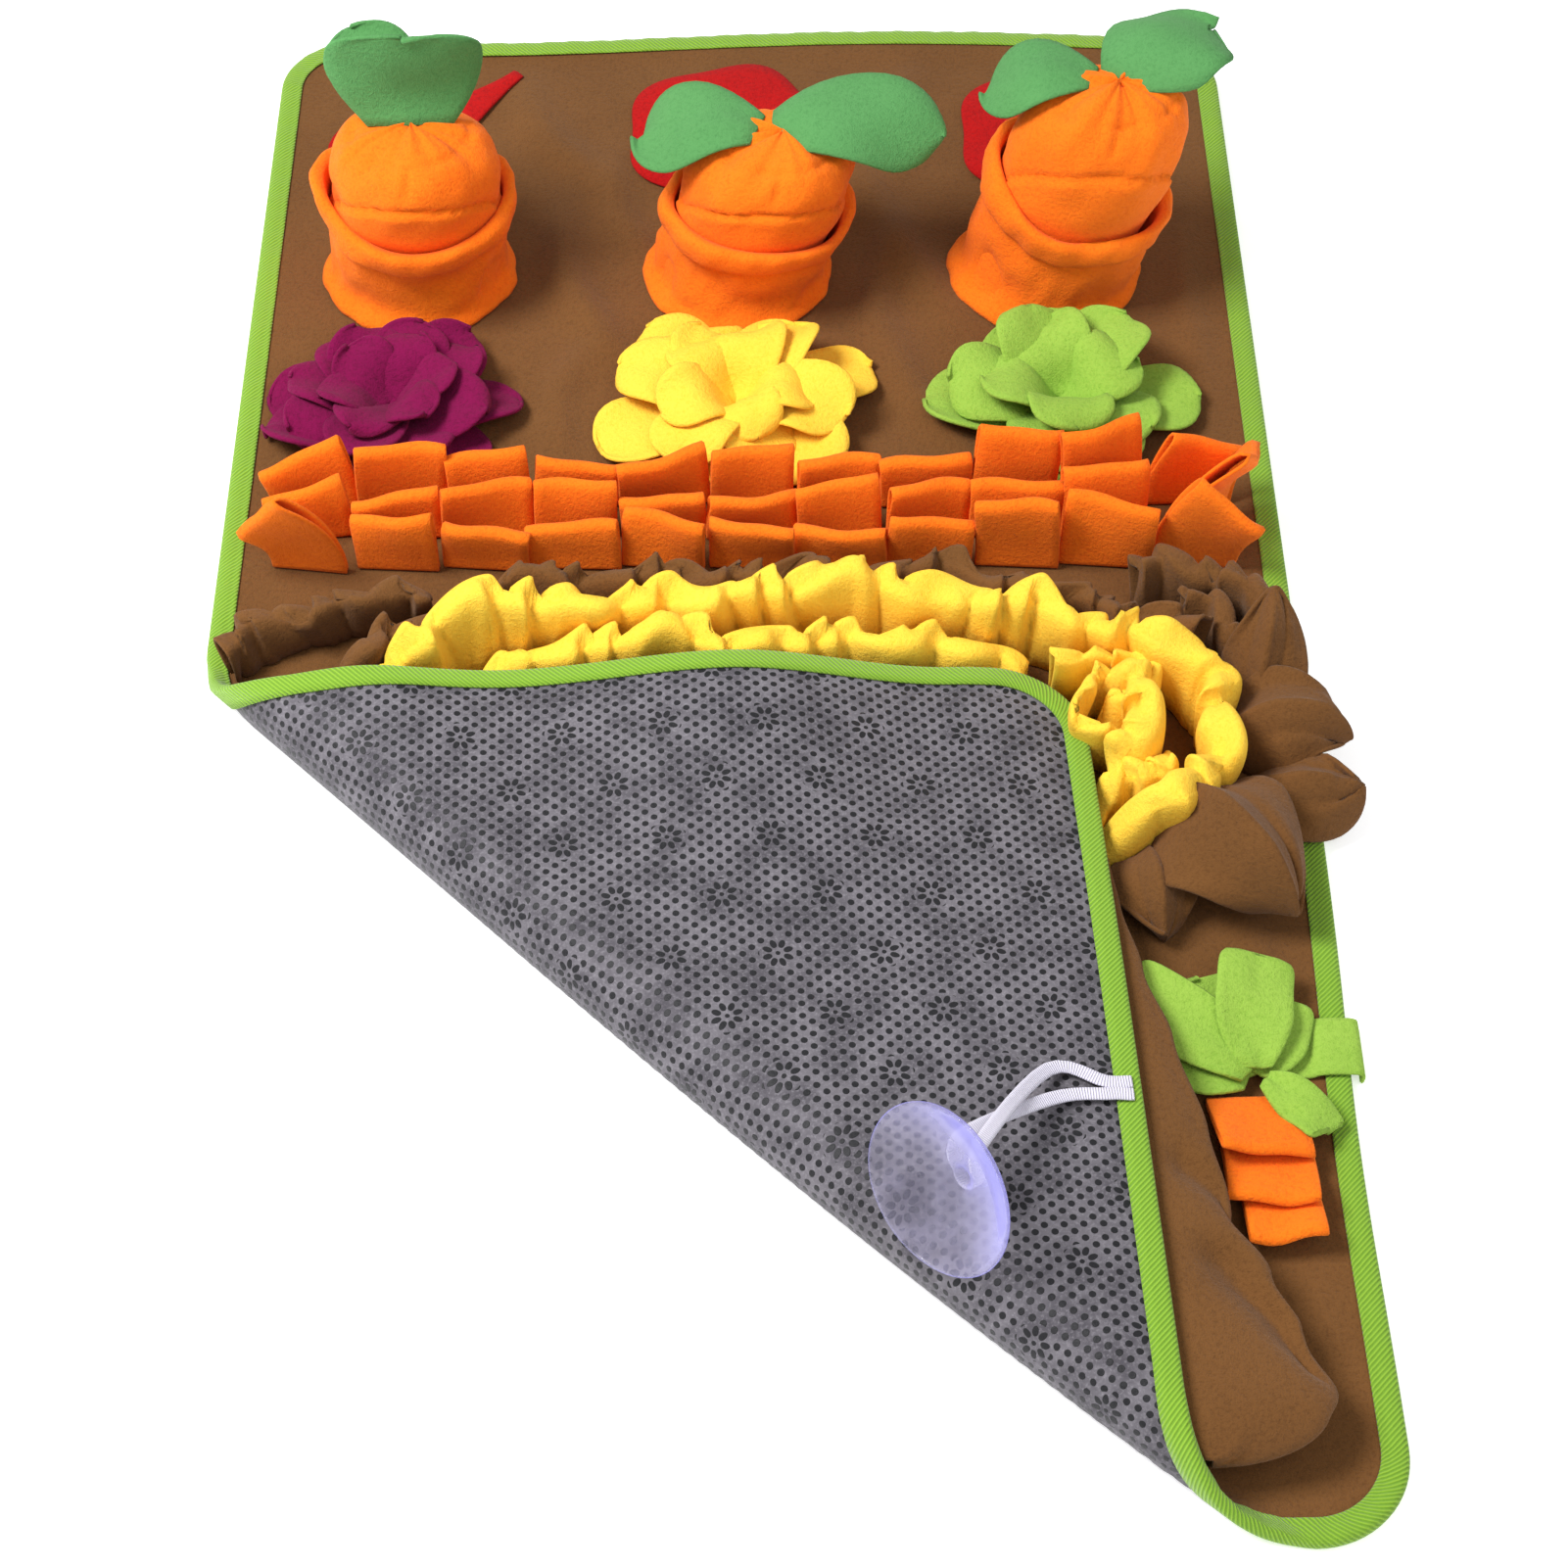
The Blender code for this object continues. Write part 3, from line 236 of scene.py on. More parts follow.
def calc(tree, operation, a, b=None, c=None):
    """One Math node; a, b and c are sockets or numbers."""
    node = tree.nodes.new("ShaderNodeMath")
    node.operation = operation
    for socket, value in zip(node.inputs, (a, b, c)):
        if isinstance(value, bpy.types.NodeSocket):
            tree.links.new(value, socket)
        elif value is not None:
            socket.default_value = value
    return node.outputs[0]


def noise_of(tree, vector, scale, detail, rough):
    """One Noise Texture, as a value from 0 to 1."""
    node = tree.nodes.new("ShaderNodeTexNoise")
    node.inputs["Scale"].default_value = scale
    node.inputs["Detail"].default_value = detail
    node.inputs["Roughness"].default_value = rough
    tree.links.new(vector, node.inputs["Vector"])
    return node.outputs["Fac"]


def blend_of(tree, factor, a, b):
    """A colour between a and b; each is a socket or a colour."""
    node = tree.nodes.new("ShaderNodeMix")
    node.data_type = "RGBA"
    tree.links.new(factor, node.inputs["Factor"])
    for socket, value in ((node.inputs[6], a), (node.inputs[7], b)):
        if isinstance(value, bpy.types.NodeSocket):
            tree.links.new(value, socket)
        else:
            socket.default_value = (*value, 1)
    return node.outputs[2]


def smooth_step(tree, value, low, high):
    """0 below low, 1 above high, a soft step between, for a shader's value."""
    node = tree.nodes.new("ShaderNodeMapRange")
    node.interpolation_type = "SMOOTHSTEP"
    node.inputs["From Min"].default_value = low
    node.inputs["From Max"].default_value = high
    tree.links.new(value, node.inputs["Value"])
    return node.outputs["Result"]


def cut_place(tree):
    """Where a point lies on the piece's flat cut, in metres, as outputs X and Y."""
    cut = tree.nodes.new("ShaderNodeUVMap")
    cut.uv_map = "cut"
    place = tree.nodes.new("ShaderNodeSeparateXYZ")
    tree.links.new(cut.outputs["UV"], place.inputs[0])
    return place.outputs


def raised(tree, height, distance, shader):
    """A Bump node between a height and a shader's Normal."""
    bump = tree.nodes.new("ShaderNodeBump")
    bump.inputs["Distance"].default_value = distance
    tree.links.new(height, bump.inputs["Height"])
    tree.links.new(bump.outputs["Normal"], shader.inputs["Normal"])


def new_material(name, roughness, sheen=0.0):
    """A material with a plain cloth finish: itself, its nodes and its shader."""
    material = bpy.data.materials.new(name)
    material.use_nodes = True
    shader = material.node_tree.nodes["Principled BSDF"]
    shader.inputs["Roughness"].default_value = roughness
    shader.inputs["Specular IOR Level"].default_value = 0.25
    shader.inputs["Sheen Weight"].default_value = sheen
    shader.inputs["Sheen Roughness"].default_value = 0.5
    return material, material.node_tree, shader


def felt_material():
    """Grey felt with staggered grip dots, and roses of eight petals among them."""
    material, tree, shader = new_material("dotted felt", 0.92, sheen=0.1)
    place = cut_place(tree)

    def do(operation, *values):
        return calc(tree, operation, *values)

    def distance(x, y):
        return do("SQRT", do("ADD", do("MULTIPLY", x, x), do("MULTIPLY", y, y)))

    def from_centre(value, pitch):
        return do("MULTIPLY", do("SUBTRACT", do("FRACT", value), 0.5), pitch)

    def lattice(pitch_x, pitch_y):
        """Offsets, in metres, from the nearest centre of a staggered lattice."""
        row = do("DIVIDE", place["Y"], pitch_y)
        odd = do("MODULO", do("ABSOLUTE", do("FLOOR", row)), 2.0)
        column = do("ADD", do("DIVIDE", place["X"], pitch_x), do("MULTIPLY", odd, 0.5))
        return from_centre(column, pitch_x), from_centre(row, pitch_y)

    def inside(far, radius):
        """1 inside the radius, 0 outside, with a soft rim."""
        rim = 0.00018
        depth = do("MAXIMUM", do("DIVIDE", do("SUBTRACT", radius, far), rim), 0.0)
        return do("SMOOTH_MIN", 1.0, depth, 0.2)

    dot_pitch, dot_r = 0.0062, 0.00150
    rose_pitch_x, rose_pitch_y, rose_r = 0.060, 0.0220, 0.0078
    petals, petal_r, petal_out, petal_squash, heart_r = 8, 0.00140, 0.0047, 0.66, 0.00105
    dots = inside(distance(*lattice(dot_pitch, dot_pitch * 0.62)), dot_r)
    rose_x, rose_y = lattice(rose_pitch_x, rose_pitch_y)
    from_rose = distance(rose_x, rose_y)
    one_turn = 2 * math.pi / petals
    around = do("ADD", do("DIVIDE", do("ARCTAN2", rose_y, rose_x), one_turn), float(petals))
    aside = do("MULTIPLY", do("MULTIPLY", do("SUBTRACT", do("FRACT", around), 0.5), from_rose), one_turn)
    outward = do("MULTIPLY", do("SUBTRACT", from_rose, petal_out), petal_squash)
    rose = do("MAXIMUM", inside(distance(aside, outward), petal_r), inside(from_rose, heart_r))
    near_rose = inside(from_rose, rose_r)
    kept_dots = do("MULTIPLY", dots, do("SUBTRACT", 1.0, near_rose))
    rubber = do("MINIMUM", do("ADD", do("MULTIPLY", rose, near_rose), kept_dots), 1.0)
    here = tree.nodes.new("ShaderNodeTexCoord").outputs["Object"]
    cloudy = smooth_step(tree, noise_of(tree, here, 60, 3.0, 0.6), 0.30, 0.70)
    fibres = noise_of(tree, here, 700, 4.0, 0.7)
    pale = do("MULTIPLY", smooth_step(tree, fibres, 0.45, 0.75), 0.40)
    dark_grey, mid_grey, fibre_grey = (0.072, 0.066, 0.077), (0.150, 0.139, 0.156), (0.34, 0.32, 0.35)
    black = (0.009, 0.009, 0.011)
    grey = blend_of(tree, pale, blend_of(tree, cloudy, dark_grey, mid_grey), fibre_grey)
    tree.links.new(blend_of(tree, rubber, grey, black), shader.inputs["Base Color"])
    tree.links.new(do("SUBTRACT", 0.95, do("MULTIPLY", rubber, 0.45)), shader.inputs["Roughness"])
    height = do("ADD", do("MULTIPLY", rubber, 0.9), do("MULTIPLY", fibres, 0.5))
    raised(tree, height, 0.00045, shader)
    return material


def mat_grid(inset, pitch):
    """Rows of points over the mat's flat outline, moved in by inset: u and v."""
    r = CORNER_R - inset
    half_l, half_w = MAT_L / 2 - inset, MAT_W / 2 - inset
    arc = half_l - r + r * np.sin(np.radians(np.linspace(0, 90, 9)[1:]))
    straight = np.linspace(r - half_l, half_l - r, round(2 * (half_l - r) / pitch))
    v = np.concatenate([-arc[::-1], straight, arc])
    over = np.clip(np.abs(v) - half_l + r, 0, r)
    half = half_w - r + np.sqrt(np.maximum(r * r - over * over, 0))
    u = half[:, None] * np.linspace(-1, 1, round(2 * half_w / pitch))[None, :]
    return bowed(u, np.broadcast_to(v[:, None], u.shape))


def felt_rise(u, v):
    """The soft unevenness of both cloths past the fold, none near the binding."""
    past = (u - FOLD_START[0]) * ACROSS[0] + (v - FOLD_START[1]) * ACROSS[1]
    swell = np.sin(u * 47 + v * 13) * np.sin(v * 31 - u * 17) + 0.6 * np.sin(u * 83 - v * 61 + 1.3)
    return 0.0007 * swell * smooth(0.02, 0.09, past) * smooth(0.02, 0.06, edge_distance(u, v))


CLOTH_INSET, CLOTH_PITCH = TAPE_T + 0.001, 0.0052  # both cloths end just inside the binding's fold
EDGE_SLOPE = 0.011  # over this length they come down again from the binding's lower leg
u, v = mat_grid(CLOTH_INSET, CLOTH_PITCH)
lift = EDGE_LIFT * (1 - smooth(TAPE_W, TAPE_W + EDGE_SLOPE, edge_distance(u, v)))
middle = folded(u, v, FELT_T / 2 + lift + felt_rise(u, v))
felt = cloth("felt_backing", [middle], FELT_T, [np.stack([u, v], -1)])
fit(felt, felt_material(), "felt", "felt_base")


# ================================================================ brown fleece top
# One piece of brown fleece, sewn to the felt along the edge and folded over with it. It
# lies a little loose, with soft wrinkles between the pieces that are sewn to it.
def nap_group():
    """Short brushed pile: painted shade darkens its colour where the pile is low and in soft broad patches;
    its height is fine and clumped.
    """
    group = bpy.data.node_groups.new("brushed nap", "ShaderNodeTree")
    for name, value in (
        ("Colour", (0.5, 0.5, 0.5, 1)),
        ("Deep", (0.3, 0.3, 0.3, 1)),
    ):
        socket = group.interface.new_socket(name=name, in_out="INPUT", socket_type="NodeSocketColor")
        socket.default_value = value
    group.interface.new_socket(name="Colour", in_out="OUTPUT", socket_type="NodeSocketColor")
    group.interface.new_socket(name="Height", in_out="OUTPUT", socket_type="NodeSocketFloat")
    given, out = group.nodes.new("NodeGroupInput"), group.nodes.new("NodeGroupOutput")
    here = group.nodes.new("ShaderNodeTexCoord").outputs["Object"]
    clumps = noise_of(group, here, 520, 3.0, 0.6)
    tufts = noise_of(group, here, 1500, 2.0, 0.6)
    shade = smooth_step(group, noise_of(group, here, 17, 3.0, 0.6), 0.30, 0.70)
    mixed = calc(group, "ADD", calc(group, "MULTIPLY", clumps, 0.60), calc(group, "MULTIPLY", tufts, 0.40))
    level = smooth_step(group, mixed, 0.30, 0.56)
    # painted shade: the deep colour where the pile is low, between the fibres, and in soft broad patches
    painted_nap_shade = calc(group, "ADD", calc(group, "MULTIPLY", level, 0.72), calc(group, "MULTIPLY", shade, 0.34))
    colour = blend_of(group, painted_nap_shade, given.outputs["Deep"], given.outputs["Colour"])
    group.links.new(colour, out.inputs["Colour"])
    group.links.new(mixed, out.inputs["Height"])
    return group


brushed_nap = nap_group()


def fleece(name, colour, deep, sheen):
    """Polar fleece in one colour; deep is the painted shade colour down between the fibres."""
    material, tree, shader = new_material(name, 1.0, sheen)
    shader.inputs["Sheen Tint"].default_value = (*[min(1, 0.35 + c) for c in colour], 1)
    nap = tree.nodes.new("ShaderNodeGroup")
    nap.node_tree = brushed_nap
    nap.inputs["Colour"].default_value = (*colour, 1)
    nap.inputs["Deep"].default_value = (*deep, 1)
    tree.links.new(nap.outputs["Colour"], shader.inputs["Base Color"])
    raised(tree, nap.outputs["Height"], 0.0011, shader)
    return material


# loose wrinkles: from and to on the flat cloth, how high and how wide
WRINKLES = (
    ((-0.098, 0.300), (-0.075, 0.200), 0.0058, 0.009),
    ((-0.118, 0.400), (-0.085, 0.325), 0.0044, 0.010),
    ((-0.070, 0.350), (-0.055, 0.260), 0.0036, 0.007),
    ((0.056, 0.350), (0.090, 0.235), 0.0060, 0.011),
    ((0.078, 0.290), (0.060, 0.190), 0.0042, 0.008),
    ((0.073, 0.205), (0.098, 0.128), 0.0048, 0.009),
    ((-0.082, 0.200), (-0.098, 0.125), 0.0046, 0.008),
    ((0.230, 0.310), (0.222, 0.160), 0.0034, 0.008),
    ((0.085, 0.410), (0.072, 0.330), 0.0040, 0.009),
    ((0.222, -0.130), (0.214, -0.185), 0.0026, 0.008),
    ((0.236, -0.300), (0.226, -0.380), 0.0024, 0.006),
)


def wrinkled(u, v):
    """How much the wrinkles raise the fleece; near the binding there are none."""
    rise = np.zeros_like(u)
    for (x0, y0), (x1, y1), high, wide in WRINKLES:
        run = np.array([x1 - x0, y1 - y0])
        k = ((u - x0) * run[0] + (v - y0) * run[1]) / (run @ run)
        bend = 0.006 * np.sin(k * math.pi * 1.3)
        off = ((u - x0) * -run[1] + (v - y0) * run[0]) / np.hypot(*run) + bend
        rise += high * np.exp(-((off / wide) ** 2)) * smooth(-0.3, 0.3, k) * (1 - smooth(0.7, 1.3, k))
    return rise * smooth(0.014, 0.034, edge_distance(u, v))


# the second colour, here and for every fleece below, is the painted shade down in the pile
brown_fleece = fleece("brown fleece", (0.168, 0.070, 0.018), (0.108, 0.043, 0.010), sheen=0.20)
# the same grid and the same rise as the felt's, one cloth higher
middle = FELT_T + GAP + FLEECE_T / 2 + lift + felt_rise(u, v) + wrinkled(u, v)
top = cloth("fleece_face", [folded(u, v, middle)], FLEECE_T)
fit(top, brown_fleece, "brown_fleece", "fleece_top")

# ================================================================ binding
# Bright green twill tape, cut 29 mm wide, folded over the edges of both cloths and sewn
# through near its inner edge, so that 11 mm show. Its slanting ribs run all round.
TAPE_TOP = EDGE_LIFT + FLEECE_TOP + GAP + TAPE_T
# inset from the mat's outline, height: the outside of the fold, then back along its inside
TAPE_SECTION = (
    (0.0112, 0.0000), (0.0070, 0.0000), (0.0030, 0.0000), (0.0012, 0.0003), (0.0003, 0.0014),
    (0.0000, 0.0030), (0.0003, 0.0046), (0.0012, 0.0057), (0.0030, 0.0061), (0.0052, 0.0062),
    (0.0072, 0.0061), (0.0084, 0.0058), (0.0098, 0.0060), (0.0110, 0.0058), (0.0114, 0.0053),
    (0.0110, 0.0049), (0.0080, 0.0049), (0.0024, 0.0049), (0.0012, 0.0040), (0.0012, 0.0020),
    (0.0024, 0.0010), (0.0080, 0.0010), (0.0112, 0.0010),
)


def outline_loop(inset, pitch):
    """The mat's flat outline moved in by inset, as points that keep step with the outline itself."""
    half_w, half_l = MAT_W / 2 - CORNER_R, MAT_L / 2 - CORNER_R
    reach = CORNER_R - inset
    corners = ((half_w, half_l), (-half_w, half_l), (-half_w, -half_l), (half_w, -half_l))
    spots = []
    for i, (cx, cy) in enumerate(corners):
        turn = np.radians(90 * i + np.linspace(0, 90, 17))
        spots += [(cx + reach * math.cos(a), cy + reach * math.sin(a)) for a in turn]
        (x, y), (nx, ny) = spots[-1], corners[(i + 1) % 4]
        goal_x, goal_y = nx + reach * math.cos(turn[-1]), ny + reach * math.sin(turn[-1])
        steps = round(2 * (half_l if i % 2 else half_w) / pitch)
        spots += [(x + (goal_x - x) * k / steps, y + (goal_y - y) * k / steps) for k in range(1, steps)]
    return np.array(spots)


def twill_group():
    """Slanting ribs of a woven tape, from the tape's own length and width."""
    group = bpy.data.node_groups.new("twill ribs", "ShaderNodeTree")
    for name, value in (("Pitch", 0.002), ("Slant", 1.0)):
        socket = group.interface.new_socket(name=name, in_out="INPUT", socket_type="NodeSocketFloat")
        socket.default_value = value
    group.interface.new_socket(name="Rib", in_out="OUTPUT", socket_type="NodeSocketFloat")
    given, out = group.nodes.new("NodeGroupInput"), group.nodes.new("NodeGroupOutput")
    place = cut_place(group)
    slant = calc(group, "MULTIPLY", place["Y"], given.outputs["Slant"])
    across = calc(group, "DIVIDE", calc(group, "ADD", place["X"], slant), given.outputs["Pitch"])
    wave = calc(group, "SINE", calc(group, "MULTIPLY", across, 2 * math.pi))
    group.links.new(calc(group, "MULTIPLY_ADD", wave, 0.5, 0.5), out.inputs["Rib"])
    return group


twill_ribs = twill_group()


def woven(name, colour, deep, pitch, slant):
    """Ribbed tape or cord in one colour; deep is the painted shade colour down between the ribs."""
    material, tree, shader = new_material(name, 0.85, sheen=0.2)
    ribs = tree.nodes.new("ShaderNodeGroup")
    ribs.node_tree = twill_ribs
    ribs.inputs["Pitch"].default_value = pitch
    ribs.inputs["Slant"].default_value = slant
    here = tree.nodes.new("ShaderNodeTexCoord").outputs["Object"]
    yarn = noise_of(tree, here, 1400, 2.0, 0.6)
    # painted shade: darker down between the ribs, mixed with a random tone of the yarn
    level = calc(tree, "MULTIPLY_ADD", yarn, 0.30, calc(tree, "MULTIPLY", ribs.outputs["Rib"], 0.80))
    tree.links.new(blend_of(tree, level, deep, colour), shader.inputs["Base Color"])
    raised(tree, level, 0.0005, shader)
    return material


LOOP_PITCH, PUCKER_PITCH = 0.0042, 0.0135
UPPER_FACE = 0.0055  # what lies above this height in the section puckers between the stitches
# the second colour is the painted shade between the ribs
green_twill = woven(
    "green twill tape", (0.270, 0.480, 0.035), (0.120, 0.270, 0.014), pitch=0.0024, slant=1.0
)
loops = [bowed(*outline_loop(inset, LOOP_PITCH).T) for inset, _ in TAPE_SECTION]
base_loop = outline_loop(0, LOOP_PITCH)
step = np.linalg.norm(np.roll(base_loop, -1, 0) - base_loop, axis=1)
travelled = np.concatenate([[0], np.cumsum(step)])
width_along = np.cumsum([0] + [math.dist(a, b) for a, b in zip(TAPE_SECTION, TAPE_SECTION[1:])])
pucker = 1 + 0.05 * np.sin(travelled[:-1] * 2 * math.pi / PUCKER_PITCH) + 0.03 * np.sin(travelled[:-1] * 140)
points, faces, coords = [], [], []
for (inset, height), (lu, lv) in zip(TAPE_SECTION, loops):
    points += list(folded(lu, lv, height * (pucker if height > UPPER_FACE else 1)))
count, rows = len(base_loop), len(TAPE_SECTION)
for j in range(rows):
    k = (j + 1) % rows
    for i in range(count):
        n = (i + 1) % count
        faces.append((j * count + i, j * count + n, k * count + n, k * count + i))
        near, far = width_along[j], width_along[k] if k else width_along[-1] + TAPE_T
        here, there = travelled[i], travelled[i + 1]
        coords += [(here, near), (there, near), (there, far), (here, far)]
binding = shaped("binding", points, faces)
binding.data.uv_layers.new(name="cut").data.foreach_set("uv", np.array(coords, np.float32).ravel())
fit(binding, green_twill, "green_tape", "binding_tape")

# ================================================================ elastic and suction cup
# A clear soft cup with a violet tint, for holding the mat to a smooth floor. It hangs in a
# loop of flat white elastic whose two ends are sewn under the binding.
CUP_AXIS = Vector((-0.70, -0.62, 0.34)).normalized()  # the way its hollow side faces
CUP_MIDDLE = Vector((0.0702, -0.3215, 0.0655))
# radius, place along the axis from the rim's plane: hollow side, rim, back, neck and knob
CUP_PROFILE = (
    (0.0000, -0.0088), (0.0060, -0.0086), (0.0110, -0.0081), (0.0170, -0.0071), (0.0220, -0.0057),
    (0.0270, -0.0038), (0.0310, -0.0018), (0.0340, -0.0002), (0.0355, 0.0004), (0.0360, 0.0000),
    (0.0358, -0.0008), (0.0350, -0.0014), (0.0325, -0.0028), (0.0290, -0.0048), (0.0250, -0.0069),
    (0.0205, -0.0086), (0.0150, -0.0101), (0.0110, -0.0112), (0.0075, -0.0119), (0.0052, -0.0128),
    (0.0042, -0.0142), (0.0039, -0.0165), (0.0040, -0.0200), (0.0050, -0.0211), (0.0070, -0.0216),
    (0.0076, -0.0225), (0.0076, -0.0238), (0.0068, -0.0248), (0.0045, -0.0251), (0.0000, -0.0252),
)
cup_side = Vector((-CUP_AXIS.y, CUP_AXIS.x, 0)).normalized()
cup_up = CUP_AXIS.cross(cup_side)
CUP_R, RIM_SAG, CUP_POINTS = 0.036, 0.0006, 64


def turned(name, points, around):
    """A closed body from rings of points, with a flat cap at each end."""
    rows = len(points) // around
    faces = []
    for j in range(rows - 1):
        for i in range(around):
            n = (i + 1) % around
            faces.append((j * around + i, j * around + n, (j + 1) * around + n, (j + 1) * around + i))
    faces += [tuple(range(around))[::-1], tuple(range((rows - 1) * around, rows * around))]
    return shaped(name, points, faces)


points = []
for r, z in CUP_PROFILE:
    for i in range(CUP_POINTS):
        a = 2 * math.pi * i / CUP_POINTS
        sag = RIM_SAG * math.sin(2 * a + 0.6) * (r / CUP_R) ** 3  # the rim isn't quite flat
        outward = cup_side * math.cos(a) + cup_up * math.sin(a)
        points.append(CUP_MIDDLE + CUP_AXIS * (z + sag) + outward * max(r, 1e-5))
cup = turned("cup", points, CUP_POINTS)


def cup_material():
    """Clear vinyl: faint where it is seen square on, deep violet where it is seen edge on."""
    material, tree, shader = new_material("violet clear vinyl", 0.16)
    shader.inputs["Specular IOR Level"].default_value = 0.5
    shader.inputs["Coat Weight"].default_value = 0.4
    edge = tree.nodes.new("ShaderNodeLayerWeight")
    edge.inputs["Blend"].default_value = 0.42
    here = tree.nodes.new("ShaderNodeTexCoord").outputs["Object"]
    cloud = noise_of(tree, here, 50, 3.0, 0.6)
    slope = smooth_step(tree, edge.outputs["Facing"], 0.10, 0.92)
    square_on, edge_on = (0.46, 0.43, 0.60), (0.30, 0.29, 0.88)
    tree.links.new(blend_of(tree, slope, square_on, edge_on), shader.inputs["Base Color"])
    haze = calc(tree, "MULTIPLY_ADD", smooth_step(tree, cloud, 0.42, 0.70), 0.10, 0.10)
    tree.links.new(calc(tree, "ADD", haze, calc(tree, "MULTIPLY", slope, 0.72)), shader.inputs["Alpha"])
    raised(tree, cloud, 0.0003, shader)
    return material


fit(cup, cup_material(), "clear_plastic", "suction_cup")

ELASTIC_W, ELASTIC_T = 0.0052, 0.0011
NECK = CUP_MIDDLE + CUP_AXIS * -0.0179
NECK_LOOP_R = 0.0040 + GAP + ELASTIC_T / 2 + 0.0003
TIE = 0.232  # where it is sewn, from the flap's corner along its short edge


def on_flap(along, inward, above):
    """A place above the flap's felt side, from its corner along its short edge and inward."""
    return Vector(folded(NEAR_LEFT[0] + along, NEAR_LEFT[1] + inward, -above))


def through(stops, steps):
    """A smooth curve through the stops (Catmull-Rom), as points."""
    stops = [Vector(s) for s in stops]
    ends = [stops[0] * 2 - stops[1], *stops, stops[-1] * 2 - stops[-2]]
    made = []
    for a, b, c, d in zip(ends, ends[1:], ends[2:], ends[3:]):
        for i in range(steps):
            t = i / steps
            spot = 2 * b + (c - a) * t
            spot += (2 * a - 5 * b + 4 * c - d) * t**2
            spot += (3 * b - a - 3 * c + d) * t**3
            made.append(0.5 * spot)
    return made + [stops[-1]]


to_tie = on_flap(TIE, 0.02, 0.0) - NECK
away = (to_tie - CUP_AXIS * to_tie.dot(CUP_AXIS)).normalized()
beside = CUP_AXIS.cross(away)
edge_way = Vector((0.042, -0.999, 0))  # square to the edge that it is sewn under
TURN_FROM, TURN_TO = 10, 22  # between these points from an end it turns to lie round the neck
runs = []
for k in (-1, 1):
    runs.append([
        on_flap(TIE + 0.0030 * k, 0.0045, 0.0012),
        on_flap(TIE + 0.0030 * k, 0.0150, 0.0022),
        on_flap(TIE + 0.0070 * k, 0.0380, 0.0060),
        NECK + beside * k * NECK_LOOP_R + away * 0.014,
    ])
round_neck = [
    NECK - beside * NECK_LOOP_R * math.cos(a) - away * NECK_LOOP_R * math.sin(a)
    for a in np.linspace(0, math.pi, 7)
]
line = through([*runs[0], *round_neck, *runs[1][::-1]], 6)
grid, coords, gone, wide_was = [], [], 0.0, None
for i, at in enumerate(line):
    ahead = (line[min(i + 1, len(line) - 1)] - line[max(i - 1, 0)]).normalized()
    near_neck = smooth(TURN_FROM, TURN_TO, min(i, len(line) - 1 - i))
    wide = edge_way * float(1 - near_neck) - CUP_AXIS * float(near_neck)
    wide = (wide - ahead * wide.dot(ahead)).normalized()
    if wide_was is not None and wide.dot(wide_was) < 0:
        wide = -wide
    wide_was = wide
    gone += 0 if i == 0 else (at - line[i - 1]).length
    grid.append([tuple(at + wide * ELASTIC_W * s) for s in (-0.5, -0.25, 0, 0.25, 0.5)])
    coords.append([(gone, ELASTIC_W * s) for s in (-0.5, -0.25, 0, 0.25, 0.5)])
elastic = cloth("elastic", [np.array(grid)], ELASTIC_T, [np.array(coords)])
# its second colour is the painted shade between the ribs
white_elastic = woven("white elastic", (0.83, 0.80, 0.90), (0.55, 0.52, 0.66), pitch=0.0011, slant=0.0)
fit(elastic, white_elastic, "white_elastic", "elastic_loop")

# ================================================================ slack of the fleece
# Where the corner is folded, the brown fleece has more cloth than it needs. The spare
# cloth bags out past the flap's short edge, creases and lies down on the mat.

# distance from the flap's corner, how much of the bag is out, how deep it hangs
BAG = (
    (0.106, 0.02, 0.008), (0.130, 0.06, 0.007), (0.165, 0.17, 0.007), (0.200, 0.33, 0.008),
    (0.245, 0.50, 0.011), (0.285, 0.64, 0.017), (0.310, 0.84, 0.020), (0.335, 1.04, 0.021),
    (0.362, 1.20, 0.019), (0.375, 1.10, 0.013),
)
# how far past the edge, how far below the flap's felt face
BAG_PATH = (
    (-0.0135, 0.0074), (-0.0040, 0.0079), (0.0160, 0.0082), (0.0340, 0.0096), (0.0460, 0.0126),
    (0.0500, 0.0176), (0.0460, 0.0232), (0.0300, 0.0277), (0.0060, 0.0290), (-0.0160, 0.0270),
)
BAG_PASS, BAG_DEEP = 0.0079, 0.0290  # where it passes the edge, and the path's lowest place
BAG_ROUND = 0.12  # length of that path, about
BAG_OUT = Vector((0.999, 0.042, 0))


def bag_place(along, out, deep):
    """A place on the bag: in under the flap where out is negative, past its edge otherwise."""
    u = NEAR_LEFT[0] + along
    if out < 0:
        out *= 1 - 0.7 * float(smooth(0.30, 0.37, along))
        return Vector(folded(u, NEAR_LEFT[1] - out, deep))
    past = max(deep - BAG_PASS, 0)
    return Vector(folded(u, NEAR_LEFT[1], deep - past)) + BAG_OUT * out - Vector((0, 0, past))


# creases: from and to as distance along and share of the path, how deep, how wide
BAG_CREASES = (
    ((0.262, 0.28), (0.296, 0.66), 0.0080, 0.0080),
    ((0.305, 0.30), (0.350, 0.46), 0.0078, 0.0085),
    ((0.175, 0.36), (0.245, 0.40), 0.0016, 0.0080),
    ((0.322, 0.58), (0.362, 0.68), 0.0056, 0.0070),
)
